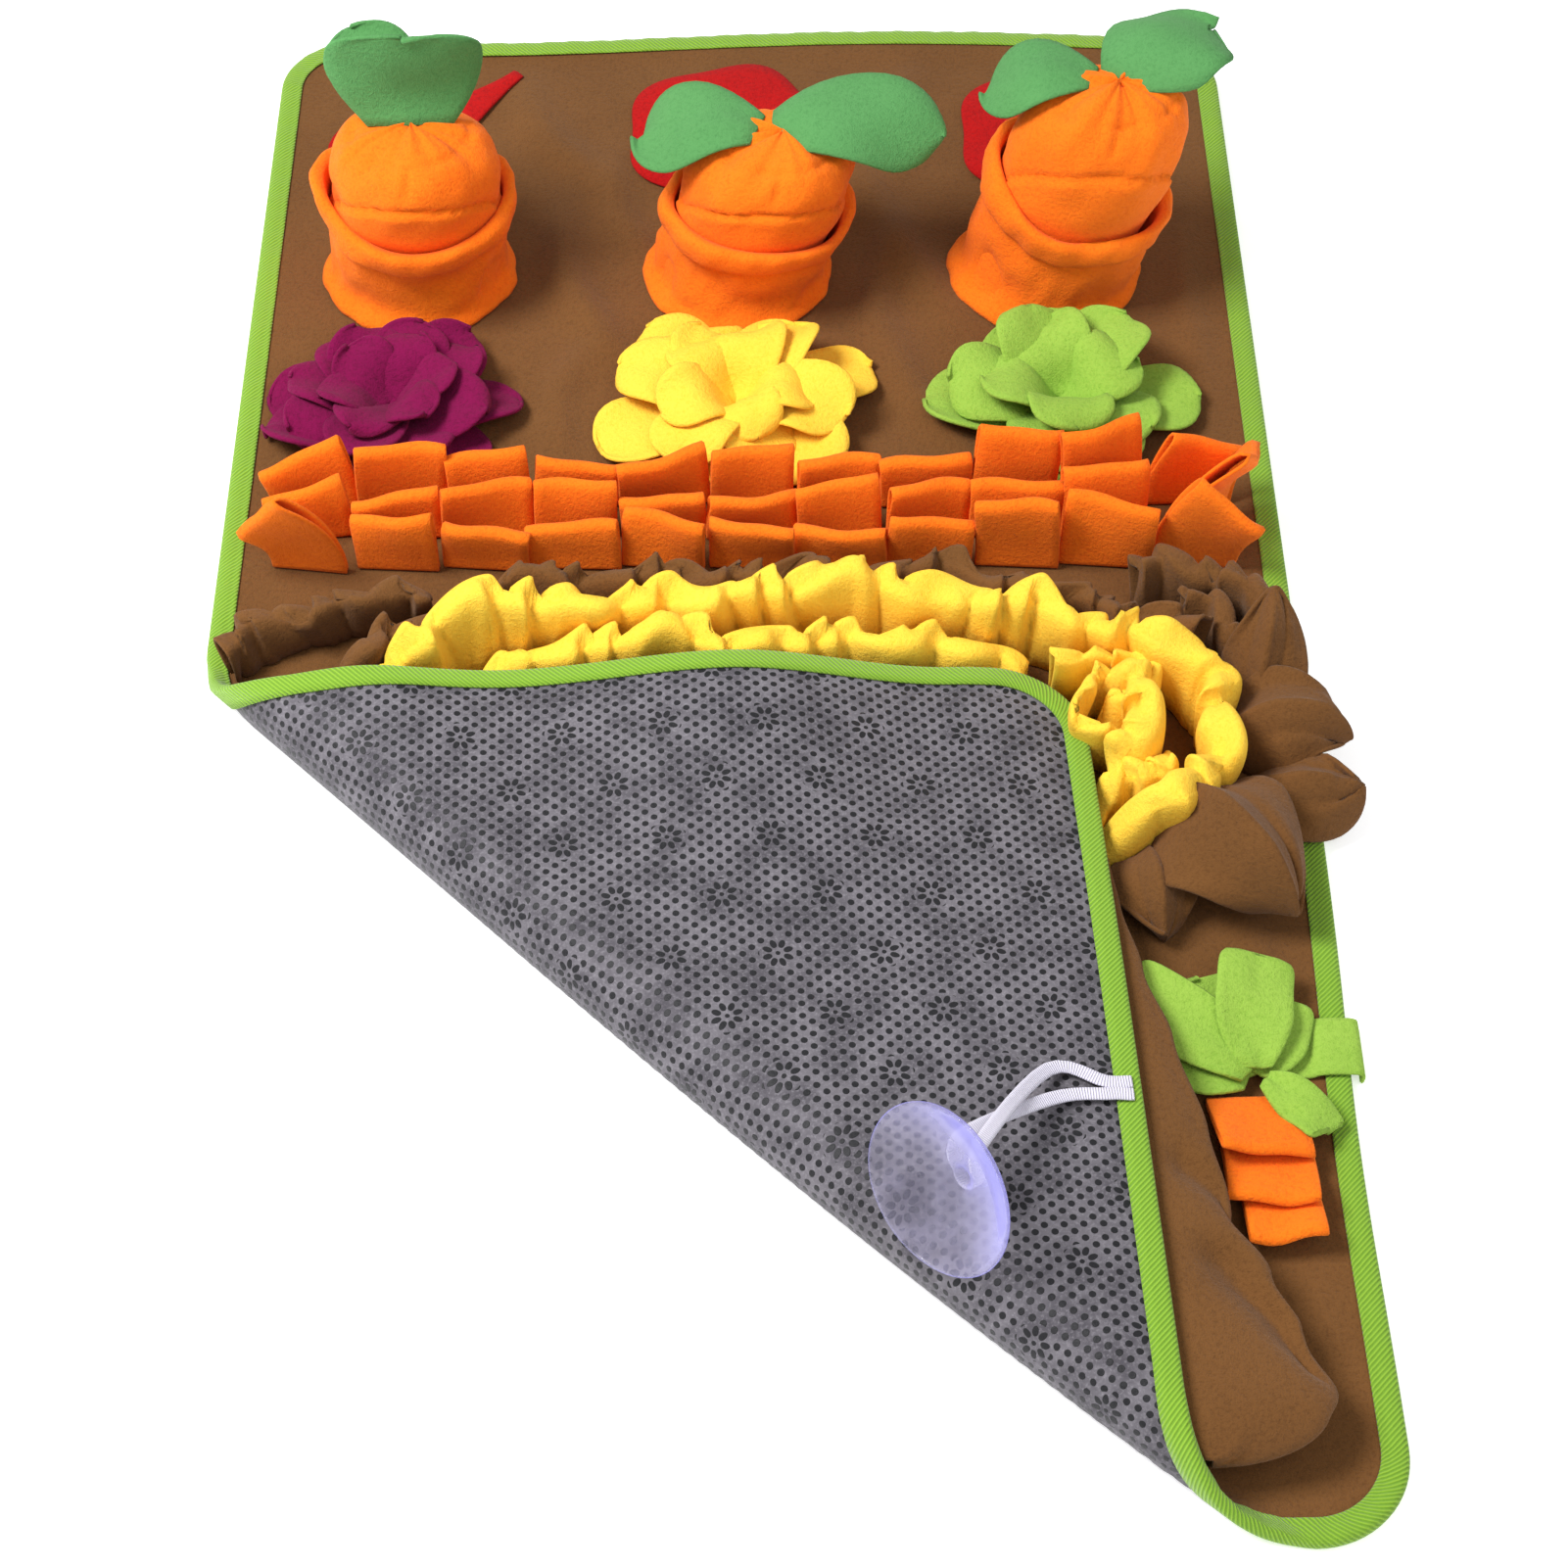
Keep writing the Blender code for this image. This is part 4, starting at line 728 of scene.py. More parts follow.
# its far end closes from CLOSE_FROM on, over CLOSE_OVER, to these points out and down
CLOSE_FROM, CLOSE_OVER, CLOSED_OUT, CLOSED_DEEP = 0.366, 0.0300, 0.001, 0.006
places = np.concatenate([np.linspace(BAG[0][0], BAG[-1][0], 90), np.linspace(0.3765, 0.3960, 14)])
path = through([(out, deep, 0) for out, deep in BAG_PATH], 5)
grid = []
for along in places:
    share, hang = float(eased(BAG, along, 1)), float(eased(BAG, along, 2))
    closing = float(np.clip((along - CLOSE_FROM) / CLOSE_OVER, 0, 1))
    shrink = math.sqrt(max(1 - closing**2, 0.0004))
    row = []
    for j, spot in enumerate(path):
        k = j / (len(path) - 1)
        run = (path[min(j + 1, len(path) - 1)] - path[max(j - 1, 0)]).normalized()
        inward = 0.0
        for (a0, k0), (a1, k1), high, wide in BAG_CREASES:
            way = np.array([a1 - a0, (k1 - k0) * BAG_ROUND])
            off = np.array([along - a0, (k - k0) * BAG_ROUND])
            t = float(off @ way / (way @ way))
            far = float(np.linalg.norm(off - way * min(max(t, 0), 1)))
            inward += high * math.exp(-((far / wide) ** 2))
        inward -= 0.0016 * noise.noise(Vector((along * 26, k * 4, 3))) * math.sin(math.pi * k)
        out, deep = spot.x + run.y * -inward, spot.y + run.x * inward
        sunk = max(deep - BAG_PASS, 0) * hang / (BAG_DEEP - BAG_PASS)
        if out > 0:
            out *= share
        if out > CLOSED_OUT:
            out = CLOSED_OUT + (out - CLOSED_OUT) * shrink
        level = min(deep, BAG_PASS) + sunk
        if k > 0.25:
            level = BAG_PASS + CLOSED_DEEP + (level - BAG_PASS - CLOSED_DEEP) * shrink
        row.append(tuple(bag_place(along, out, level)))
    grid.append(row)
slack = cloth("fleece_bag", [np.array(grid)], FLEECE_T)
fit(slack, brown_fleece, "brown_fleece", "fleece_slack")

# ================================================================ red cut pieces
# A chilli and two scalloped rounds of red fleece, cut with fluffy edges and sewn down
# behind the carrots with one row of stitches.
red_fleece = fleece("red fleece", (0.470, 0.004, 0.004), (0.250, 0.001, 0.002), sheen=0.04)
RED_T = 0.0020


def flat_cut(name, centre_line, halves, rise):
    """A cut piece from its middle line and half widths, its face a little uneven."""
    line, grid = np.array(centre_line), []
    run = np.gradient(line, axis=0)
    side = np.stack([-run[:, 1], run[:, 0]], 1) / np.linalg.norm(run, axis=1)[:, None]
    for at, way, half in zip(line, side, halves):
        row = []
        for t in np.linspace(-1, 1, 17):
            x, y = at + way * half * t
            puff = 0.0006 + rise * noise.noise(Vector((x, y, 0)) * 60) * 0.5 + 0.0008 * (1 - t * t)
            row.append((x, y, SEAT + RED_T / 2 + max(puff, 0)))
        grid.append(row)
    return cloth(name, [np.array(grid)], RED_T)


k = np.linspace(0, 1, 30)
chilli_line = np.stack([-0.219 + 0.095 * k, 0.338 + 0.071 * k], 1)
chilli_line += np.array([0.60, -0.80])[None, :] * 0.008 * np.sin(math.pi * k)[:, None]
round_end = np.sqrt(np.maximum(1 - (1 - np.minimum(k / 0.25, 1)) ** 2, 0.02))
chilli_half = 0.026 * round_end * (1 - 0.88 * smooth(0.2, 1.0, k))
chilli = flat_cut("red_chilli", chilli_line, chilli_half, 0.0012)
fit(chilli, red_fleece, "red_fleece", "red_pod")
for name, node, cx, cy, rx, ry in (
    ("red_round_middle", "red_scallop_middle", -0.012, 0.362, 0.056, 0.056),
    ("red_round_right", "red_scallop_right", 0.166, 0.360, 0.060, 0.056),
):
    grid = []
    for a in np.linspace(0, 2 * math.pi, 90, endpoint=False):
        lobe = 1 - 0.12 * (0.5 - 0.5 * math.cos(5 * (a - 1.25)))
        row = []
        for r in np.linspace(0.004, 1, 9):
            x, y = cx + rx * r * lobe * math.cos(a), cy + ry * r * lobe * math.sin(a)
            row.append((x, y, SEAT + RED_T / 2 + 0.0016 * (1 - r**6) + 0.0004 * math.sin(a * 7) * r))
        grid.append(row)
    scallop = cloth(name, [np.array(grid)], RED_T, wrap=True)
    fit(scallop, red_fleece, "red_fleece", node)

# ================================================================ pockets
# Three open cuffs of orange fleece. Each stands on the mat like a flower pot, its mouth
# turned over once and its foot pressed out into a hem by the stitches that hold it.
orange_fleece = fleece("orange fleece", (0.98, 0.195, 0.007), (0.86, 0.125, 0.003), sheen=0.08)
POCKET_DEEP = 0.039  # half of a pocket's depth
# name, centre x, centre y, half width, lean to the right, mouth height right, back, left, front
POCKETS = (
    ("left", -0.167, 0.256, 0.0450, 0.03, 0.055, 0.062, 0.064, 0.050),
    ("middle", -0.007, 0.256, 0.0440, 0.25, 0.042, 0.052, 0.050, 0.048),
    ("right", 0.148, 0.256, 0.0450, 0.24, 0.048, 0.072, 0.078, 0.052),
)
# share of the height, outward: foot, wall, the turned-over mouth, inside
POCKET_PROFILE = (
    (0.000, 0.0030), (0.015, 0.0042), (0.045, 0.0044), (0.075, 0.0034), (0.100, 0.0016),
    (0.140, 0.0006), (0.220, 0.0010), (0.320, 0.0011), (0.420, 0.0012), (0.520, 0.0012),
    (0.620, 0.0013), (0.700, 0.0014), (0.740, 0.0020), (0.765, 0.0040), (0.800, 0.0048),
    (0.860, 0.0050), (0.920, 0.0050), (0.965, 0.0044), (0.992, 0.0030), (1.000, 0.0012),
    (0.990, -0.0002), (0.960, -0.0010), (0.900, -0.0012), (0.700, -0.0012), (0.450, -0.0012),
    (0.200, -0.0012), (0.000, -0.0012),
)
POCKET_WAIST = ((0.0, 1.0), (0.16, 0.955), (0.55, 0.965), (1.0, 0.985))
SLOTS = {"left": -0.45, "middle": 3.55, "right": 3.75}  # where a hem gapes, as an angle
BIG_CREASE, SMALL_CREASE, SLOT_DEEP = 0.0042, 0.0016, 0.0046
HEM_OUT = 0.0055  # how much further the hem stands out at the front
POCKET_POINTS = 120
for name, cx, cy, half, lean, right, back, left, front in POCKETS:
    grid = []
    for a in np.linspace(0, 2 * math.pi, POCKET_POINTS, endpoint=False):
        ca, sa = math.cos(a), math.sin(a)
        tall = (
            right * max(ca, 0) ** 2 + left * max(-ca, 0) ** 2
            + back * max(sa, 0) ** 2 + front * max(-sa, 0) ** 2
        )
        row = []
        for share, out in POCKET_PROFILE:
            swell = float(eased(POCKET_WAIST, share))
            outer = 1 if out > 0 else 0.15
            crease = noise.noise(Vector((ca * 1.6 + cx * 9, sa * 1.6, share * 2.6))) * BIG_CREASE * outer
            crease = crease * smooth(0.05, 0.3, share)
            crease += noise.noise(Vector((ca * 4.5, sa * 4.5 + cx * 7, share * 5))) * SMALL_CREASE * outer
            gather = 0.0005 * math.sin(a * 9 + cx * 50) * (1 - smooth(0.0, 0.14, share)) * outer
            from_slot = (a - SLOTS[name] + math.pi) % (2 * math.pi) - math.pi
            slot = SLOT_DEEP * math.exp(-((from_slot / 0.20) ** 2)) * smooth(0.04, 0.12, share)
            gather -= slot * (1 - smooth(0.30, 0.55, share)) * outer
            front_hem = HEM_OUT * max(-sa, 0) ** 2 * (1 - smooth(0.0, 0.35, share)) * outer
            x = cx + (half * swell + out + crease + gather) * ca + lean * tall * share
            y = cy + (POCKET_DEEP * swell + out + crease + gather + front_hem) * sa
            wave = (0.0016 * math.sin(a * 2 + cx * 30) + crease * 0.6) * smooth(0.6, 1.0, share)
            row.append((x, y, SEAT + tall * share + wave))
        grid.append(row)
    # the profile closes on itself: a narrow band joins the foot of the wall to its inside
    ring = np.array(grid)
    n, m = ring.shape[:2]
    faces = []
    for i in range(n):
        b = (i + 1) % n
        faces += [(i * m + j, b * m + j, b * m + (j + 1) % m, i * m + (j + 1) % m) for j in range(m)]
    cuff = shaped(f"cuff_{name}", ring.reshape(-1, 3), faces)
    fit(cuff, orange_fleece, "orange_fleece", f"pocket_{name}")
    height = (right + back + left + front) / 4 + 0.022  # with what is turned over at the mouth

# ================================================================ carrots
# Stuffed carrots of orange fleece that stand in the pockets. Each crown is gathered to its
# middle, with a seam that arches over the front, and carries two cut leaves.
CARROT_TOPS = {"left": 0.098, "middle": 0.092, "right": 0.122}
# height as a share, half width as a share of the pocket's inside
CARROT_SHAPE = (
    (0.00, 0.26), (0.03, 0.42), (0.06, 0.52), (0.12, 0.66), (0.20, 0.76), (0.30, 0.84),
    (0.38, 0.88), (0.47, 0.91), (0.55, 0.925), (0.64, 0.93), (0.72, 0.93), (0.79, 0.895),
    (0.85, 0.83), (0.90, 0.74), (0.94, 0.61), (0.97, 0.45), (0.990, 0.28), (0.998, 0.14),
    (0.996, 0.02),
)
CARROT_POINTS = 120
SEAM_DEEP, BULGE, CROWN_DEEP, PLEAT_DEEP, PUCKER_DEEP = 0.0030, 0.0016, 0.0014, 0.0016, 0.0022
BIG_LUMP, SMALL_LUMP = 0.0030, 0.0010
sides = [(p.x, p.y) for p in through([(share, wide, 0) for share, wide in CARROT_SHAPE], 4)]
for name, cx, cy, half, lean, *_ in POCKETS:
    tall = CARROT_TOPS[name]
    points = []
    for share, wide in sides:
        for i in range(CARROT_POINTS):
            a = 2 * math.pi * i / CARROT_POINTS
            ca, sa = math.cos(a), math.sin(a)
            # a seam arches over the front from shoulder to shoulder; the cloth bulges below it
            arch = 0.56 + 0.19 * math.sqrt(max(1 - (ca / 0.95) ** 2, 0)) if sa < 0 else 9
            seam = -SEAM_DEEP * math.exp(-(((share - arch) / 0.011) ** 2))
            if sa < 0:
                seam += BULGE * (1 - smooth(-0.01, 0.012, share - arch)) * smooth(0.4, 0.55, share)
            crown = -CROWN_DEEP * math.exp(-(((share - 0.93) / 0.012) ** 2))
            crown *= 0.6 + 0.4 * math.sin(a * 6 + cx * 30)
            pleats = -PLEAT_DEEP * (0.5 + 0.5 * math.sin(a * 9 + cx * 40)) ** 3 * smooth(0.84, 0.97, share)
            pucker = -PUCKER_DEEP * math.exp(-(((a - 1.5 * math.pi) / 0.05) ** 2))
            pucker *= smooth(0.80, 0.86, share)
            pucker *= 1 - smooth(0.90, 0.95, share)
            lumps = noise.noise(Vector((ca * 1.7 + cx * 11, sa * 1.7, share * 3))) * BIG_LUMP
            lumps *= smooth(0.45, 0.7, share)
            small = noise.noise(Vector((ca * 4 + cx * 11, sa * 4, share * 9))) * SMALL_LUMP
            lumps += small * smooth(0.5, 0.7, share)
            out = seam + crown + pleats + pucker + lumps
            x = cx + lean * tall * share + (half * wide + out * (wide > 0.1)) * ca
            y = cy + (POCKET_DEEP * wide + out * (wide > 0.1)) * sa
            z = SEAT + tall * share + (lumps + crown + pleats * 0.6) * smooth(0.8, 0.95, share)
            points.append((x, y, z))
    stuffed = turned(f"stuffed_carrot_{name}", points, CARROT_POINTS)
    fit(stuffed, orange_fleece, "orange_fleece", f"carrot_{name}")

CLOTH_T = 0.0020
LOWEST = SEAT + 0.0012  # the middle of a cut cloth that lies on the mat
leaf_green = fleece("leaf green fleece", (0.100, 0.300, 0.092), (0.066, 0.225, 0.064), sheen=0.10)


def spine(root, heading, rises, length, steps, turn):
    """The middle line of a leaf, closer spaced to its tip: share, point, direction, side direction."""
    made, at, last = [], Vector(root), 0.0
    for i in range(steps + 1):
        k = math.sin(math.pi / 2 * i / steps)
        rise = math.radians(float(np.interp(k, np.linspace(0, 1, len(rises)), rises)))
        way = math.radians(heading + turn * k)
        run = Vector((math.cos(rise) * math.cos(way), math.cos(rise) * math.sin(way), math.sin(rise)))
        at += run * (length * (k - last))
        made.append((k, at.copy(), run, Vector((-math.sin(way), math.cos(way), 0))))
        last = k
    return made


def round_ended(k, root, widest, blunt):
    """Half width of a petal along it: from its root share up to 1, then a round end."""
    if k < widest:
        return root + (1 - root) * math.sin(math.pi / 2 * k / widest)
    return max(1 - ((k - widest) / (1 - widest)) ** blunt, 0.0) ** (1 / blunt)


PETAL_ROWS, PETAL_COLUMNS = 16, 13


def petal(root, heading, rises, length, wide, shape, cup, tilt, ripple, seed, turn, notch=0.0):
    """A cut petal or leaf as a grid. shape is its root share, where it is widest, and how blunt.

    cup lifts its sides, tilt turns it about its middle line in degrees, ripple waves its edge,
    notch is how deep a heart's tip is cut in.
    """
    grid = []
    for k, at, run, side in spine(root, heading, rises, length, PETAL_ROWS, turn):
        half = wide / 2 * max(round_ended(k, *shape), 0.02)
        up = run.cross(side)
        lean = math.radians(tilt) * min(1.0, 0.3 + k)
        across = side * math.cos(lean) + up * math.sin(lean)
        upward = up * math.cos(lean) - side * math.sin(lean)
        row = []
        for t in np.linspace(-1, 1, PETAL_COLUMNS):
            lift = cup * t * t * half + ripple * math.sin(k * 6 + t * 1.8 + seed) * (0.35 + 0.65 * abs(t)) * k
            lift += 0.0016 * noise.noise(Vector((k * 2.6 + seed, t * 1.4, seed)))
            cut = notch * k**4 * math.exp(-(((t + 0.2) / 0.30) ** 2))
            spot = at + across * half * t + upward * lift - run * cut
            row.append((spot.x, spot.y, max(spot.z, LOWEST + 0.0004 * (seed % 3))))
        grid.append(row)
    return np.array(grid)


BROAD = (0.34, 0.55, 2.2)
# piece, node, root's direction and distance on the crown, heading, rises, then length, width,
# shape, cup, tilt, ripple, turn, notch
LEAVES = (
    ("leaf_left_tall", "leaf_left_front", 90, 0.000, 92, (58, 74, 90, 104, 100),
     0.052, 0.074, (0.56, 0.58, 2.8), -0.20, 6, 0.004, 0, 0.002),
    ("leaf_left_low", "leaf_left_back", 118, 0.011, 124, (22, 26, 30),
     0.050, 0.046, BROAD, 0.10, 0, 0.002, 0, 0),
    ("leaf_middle_low", "leaf_middle_left", 165, 0.013, 160, (12, -4, -24, -46),
     0.066, 0.054, (0.40, 0.62, 2.6), -0.12, -6, 0.005, 14, 0.006),
    ("leaf_middle_high", "leaf_middle_right", 130, 0.006, 6, (34, 8, -14, -36),
     0.086, 0.052, (0.50, 0.50, 2.4), -0.22, 16, 0.005, -12, 0),
    ("leaf_right_low", "leaf_right_left", 155, 0.014, 158, (10, -8, -34, -58),
     0.062, 0.048, BROAD, -0.15, -6, 0.004, 8, 0),
    ("leaf_right_high", "leaf_right_over", 100, 0.004, 44, (36, 20, 0, -24),
     0.062, 0.066, (0.36, 0.50, 2.8), -0.24, -8, 0.006, -20, 0.006),
)
for row in LEAVES:
    piece, node, toward, out, heading, rises, length, wide, shape, hollow, tilt, ripple, turn, notch = row
    name = node.split("_")[1]
    cx, cy, half, lean = next(pocket[1:5] for pocket in POCKETS if pocket[0] == name)
    tall = CARROT_TOPS[name]
    shoulder = [(half * w, h * tall) for h, w in reversed(CARROT_SHAPE) if w > 0.3 and h > 0.5]
    drop = float(np.interp(out, [p[0] for p in shoulder], [p[1] for p in shoulder]))
    way = math.radians(toward)
    x, y = cx + lean * tall + out * math.cos(way), cy + out * math.sin(way) * 0.9
    root = (x, y, SEAT + drop + 0.0014)
    grid = petal(root, heading, rises, length, wide, shape, hollow, tilt, ripple, length * 90, turn, notch)
    leaf = cloth(piece, [grid], CLOTH_T)
    fit(leaf, leaf_green, "leaf_fleece", node)

# ================================================================ flowers
# Rosettes of petals in three layers, cut from fleece and sewn through their middle. The
# purple one has many small round petals, the other two have fewer, longer ones.
purple_fleece = fleece("purple fleece", (0.205, 0.002, 0.060), (0.115, 0.001, 0.032), sheen=0.06)
yellow_fleece = fleece("yellow fleece", (1.000, 0.640, 0.060), (0.980, 0.520, 0.028), sheen=0.03)
lime_fleece = fleece("lime fleece", (0.310, 0.500, 0.068), (0.200, 0.370, 0.036), sheen=0.08)
POCKET_FRONT, FRINGE_LIMIT = 0.2025, 0.038  # petals end before the pockets and the fringe
ROUND_PETAL, LONG_PETAL = (0.40, 0.60, 2.2), (0.46, 0.62, 2.6)
HUB_R, HUB_STEP, UNDER_HUB = 0.0130, 0.0025, 0.7  # a petal starts under the hub, by this share of it
PETAL_SPREAD, PETAL_FILL = 1.12, 0.84  # cut width by seen width, and how much of its square it fills
# name, material, centre, petal shape, then each layer: petals, first heading, rise at root
# and tip, length, width, how much more those by the pocket rise
FLOWERS = (
    ("purple", purple_fleece, (-0.176, 0.156), ROUND_PETAL,
     ((9, 4, (7, 4), 0.053, 0.036, 6), (8, 28, (22, 8), 0.042, 0.034, 4),
      (6, 10, (46, 14), 0.032, 0.028, 0))),
    ("yellow", yellow_fleece, (-0.008, 0.156), LONG_PETAL,
     ((6, 20, (8, -2), 0.058, 0.042, 10), (6, 50, (34, -14), 0.052, 0.036, 6),
      (5, 66, (58, -26), 0.044, 0.030, 0))),
    ("lime", lime_fleece, (0.150, 0.158), LONG_PETAL,
     ((6, 0, (8, 4), 0.058, 0.044, 18), (5, 40, (32, 0), 0.048, 0.040, 14),
      (4, 100, (56, -10), 0.040, 0.036, 0))),
)
for name, material, (cx, cy), shape, layers in FLOWERS:
    for k, (count, start, rises, length, wide, lift_back) in enumerate(layers):
        hub = HUB_R - HUB_STEP * k
        low = SEAT + k * (CLOTH_T + GAP) + CLOTH_T / 2
        grids, area = [], 0.0
        for i in range(count):
            heading = start + 360 * i / count + 2 * math.sin(i * 2.3 + start)
            back = math.sin(math.radians(heading))
            stand = lift_back * float(smooth(0.25, 0.85, back))
            rise_start = max(rises[0] + 3 * math.sin(i * 2.9), 5) + stand
            rise_end = rises[1] + 3 * math.sin(i * 1.3) + stand
            long = length * (1 + 0.07 * math.sin(i * 1.9 + start * 0.7))
            if back < -0.3:
                long = min(long, FRINGE_LIMIT / -back)
            if back > 0.3:
                level = math.cos(math.radians((rise_start + rise_end) / 2))
                long = min(long, ((POCKET_FRONT - cy) / back - hub) / level)
            a = math.radians(heading)
            root = (cx + 0.1 * hub * math.cos(a), cy + 0.1 * hub * math.sin(a), low + 0.0005 * (i % 3))
            curve = (2, rise_start, rise_start, (rise_start + rise_end) / 2, rise_end, rise_end - 14)
            whole = long + UNDER_HUB * hub
            grids.append(petal(
                root, heading, curve, whole, wide * PETAL_SPREAD, shape,
                cup=0.10 * math.sin(i * 2.6 + k), tilt=11 * (1 if i % 2 else -1), ripple=0.0034,
                seed=i * 1.7 + k * 5 + cx * 9, turn=14 * math.sin(i * 2.1 + k),
            ))
            area += whole * wide * PETAL_SPREAD * PETAL_FILL
        layer = cloth(f"{name}_flower_{k + 1}", grids, CLOTH_T)
        fit(layer, material, f"{name}_fleece", f"{name}_petals_{k + 1}")
        across = 2 * (length + hub)
        side = max(across, math.sqrt(area / 0.95))

# ================================================================ fringe
# Three rows of orange fleece strips, each folded double with its round fold upward. They
# stand up from one seam a row, and lean and twist where their neighbours leave room.
# a strip's width, pitch, number in a row, half thickness at its fold, cloth
STRIP_W, PITCH, STRIPS, STRIP_FAT, STRIP_T = 0.0385, 0.0413, 11, 0.0029, 0.0017
# its rows and columns of points, each ply's distance from its middle at the seam, seam's height
STRIP_ROWS, STRIP_COLUMNS, PLIES_APART, SEAM_H = 22, 11, 0.0011, 0.002


def strip_loop(root, wide, tall, leans, spin, tip, fat, seed):
    """One folded strip as a grid: up from its seam, round the fold and down again.

    leans are degrees from upright at root and top, spin turns it about its height, tip
    leans it sideways, fat is how far its two plies stand from its middle at the fold.
    """
    at, front, back = Vector(root), [], []
    for s in range(STRIP_ROWS + 1):
        k = s / STRIP_ROWS
        angle = math.radians(leans[0] + (leans[1] - leans[0]) * k)
        turn, side = math.radians(spin * (0.4 + 0.6 * k)), math.radians(tip * k)
        run = Vector((math.sin(side), math.sin(angle) * math.cos(side), math.cos(angle) * math.cos(side)))
        across = Vector((math.cos(turn) * math.cos(side), math.sin(turn), -math.sin(side)))
        across = (across - run * across.dot(run)).normalized()
        out = across.cross(run).normalized()
        apart = PLIES_APART + (fat - PLIES_APART) * smooth(0.2, 0.9, k)
        if k > 0.88:
            apart *= math.sqrt(max(1 - ((k - 0.88) / 0.12) ** 2, 0.0))
        rows = ([], [])
        for c in range(STRIP_COLUMNS):
            t = 2 * c / (STRIP_COLUMNS - 1) - 1
            bend = (0.0030 * math.sin(t * 1.5 + seed) + 0.0010 * math.sin(t * 4 + seed * 3 + k * 2)) * k
            here = at + across * (wide / 2 * t) + out * bend
            rows[0].append(tuple(here + out * apart))
            rows[1].append(tuple(here - out * apart))
        front.append(rows[0])
        back.append(rows[1])
        at = at + run * (tall / STRIP_ROWS)
    return np.array(front + back[-2::-1])


def fringe(piece, node, spots):
    """A row of folded strips: root, width, height, leans, spin, tip, fat and seed of each."""
    grids = [strip_loop(*spot) for spot in spots]
    row = cloth(piece, grids, STRIP_T)
    fit(row, orange_fleece, "orange_fleece", node)


# name, y, lean at the seam and at the fold, height, sway
FRINGE_ROWS = (
    ("front", 0.055, 0, 10, 0.027, 0.3),
    ("middle", 0.075, 0, 12, 0.028, 1.7),
    ("back", 0.095, -2, 12, 0.031, 3.1),
)
for name, y, lean_root, lean_top, tall, sway in FRINGE_ROWS:
    spots = []
    for i in range(STRIPS):
        x = PITCH * (i - (STRIPS - 1) / 2)
        lean = lean_top + 8 * math.sin(i * 2.1 + sway)
        high = tall * (1.00 + 0.14 * math.sin(i * 1.7 + sway * 2) - 0.12 * math.exp(-((x / 0.12) ** 2)))
        high *= 1 + 0.42 * float(smooth(0.07, 0.16, x))
        spin = 9 * (1 if y > 0.06 else -1) + 6 * math.sin(i * 2.7 + sway)
        tip = 22 * ((i == STRIPS - 1) - (i == 0)) + 7 * math.sin(i * 3.7 + sway)
        wide = STRIP_W * (1.03 + 0.07 * math.sin(i * 4.3 + sway * 3))
        root, height = (x, y, LOWEST), high + SEAM_H
        spots.append((root, wide, height, (lean_root, lean), spin, tip, STRIP_FAT, i * 1.3 + sway))
    if name == "middle":  # the last one is twisted and falls out over the binding
        spots[-1] = ((0.2060, y, LOWEST), STRIP_W, 0.060, (-4, 14), 62, 56, 0.0030, 2.0)
    if name == "front":  # the outer ones lean out over the binding
        spots[0] = ((-0.2065, y, LOWEST), STRIP_W * 0.9, 0.048, (-2, -20), -18, -54, 0.0026, 4.0)
        spots[-1] = ((0.2065, y, LOWEST), STRIP_W, 0.050, (-2, -14), -12, 34, 0.0026, 1.0)
    fringe(f"fringe_{name}", f"fringe_{name}", spots)

# ================================================================ ruffles
# Strips of fleece folded double and gathered by a seam at the foot into deep, soft
# pleats: a brown oval behind, two yellow ones before it. The flap presses down what it covers.
RUFFLE_X, RUFFLE_Y = 0.014, -0.066
OVAL_POWER = 0.80  # below 1 the ovals are a little squared
# name, node, material, slot, then half width, half depth, first angle, pleat's pitch, height,
# half thickness of the loop
RUFFLES = (
    ("brown_ruffle", "brown_ruffle", brown_fleece, "brown_fleece",
     0.207, 0.092, 30, 0.019, 0.034, 0.0080),
    ("yellow_ruffle_wide", "yellow_ruffle_outer", yellow_fleece, "yellow_fleece",
     0.190, 0.072, -90, 0.025, 0.046, 0.0112),
    ("yellow_ruffle_narrow", "yellow_ruffle_inner", yellow_fleece, "yellow_fleece",
     0.160, 0.050, 52, 0.022, 0.043, 0.0104),
)
# where the brown one runs on to the mat's edges: its line, height, half thickness
BROWN_ENDS = (
    (((0.176, 0.027, 0), (0.206, 0.028, 0), (0.226, 0.016, 0), (0.232, -0.008, 0)), 0.032, 0.0085),
    (((0.194, 0.009, 0), (0.211, -0.001, 0), (0.220, -0.019, 0)), 0.032, 0.0062),
    (((-0.236, -0.012, 0), (-0.214, 0.004, 0), (-0.184, 0.014, 0), (-0.150, 0.024, 0)), 0.026, 0.0080),
)
# the narrow yellow one ends in a rosette round this place, with one more fold below it
CURL_X, CURL_Y, CURL_WIDE, CURL_TIGHT = 0.158, -0.050, 0.0235, 0.0035
CURL_START = ((0.134, -0.0262), (0.146, -0.0264))
BELOW_CURL = ((0.124, -0.095, 0), (0.150, -0.096, 0), (0.170, -0.093, 0), (0.182, -0.082, 0))
PRESSED_H, FOLD_CLEAR = 0.009, 0.010  # height under the flap, distance from its fold
FRILL_T, FRILL_STEP, FRILL_ROUND = 0.0016, 0.0016, 30  # cloth, row to row, faces round the loop


def under_flap(x, y):
    """How far inside the flap's shadow a place on the mat is; negative is outside."""
    q = np.array([x, y]) - FOLD_START
    u, v = FOLD_START + (q @ ALONG) * ALONG + (math.pi * ROLL_R - q @ ACROSS) * ACROSS
    return min(u - NEAR_LEFT[0], v - NEAR_LEFT[1])


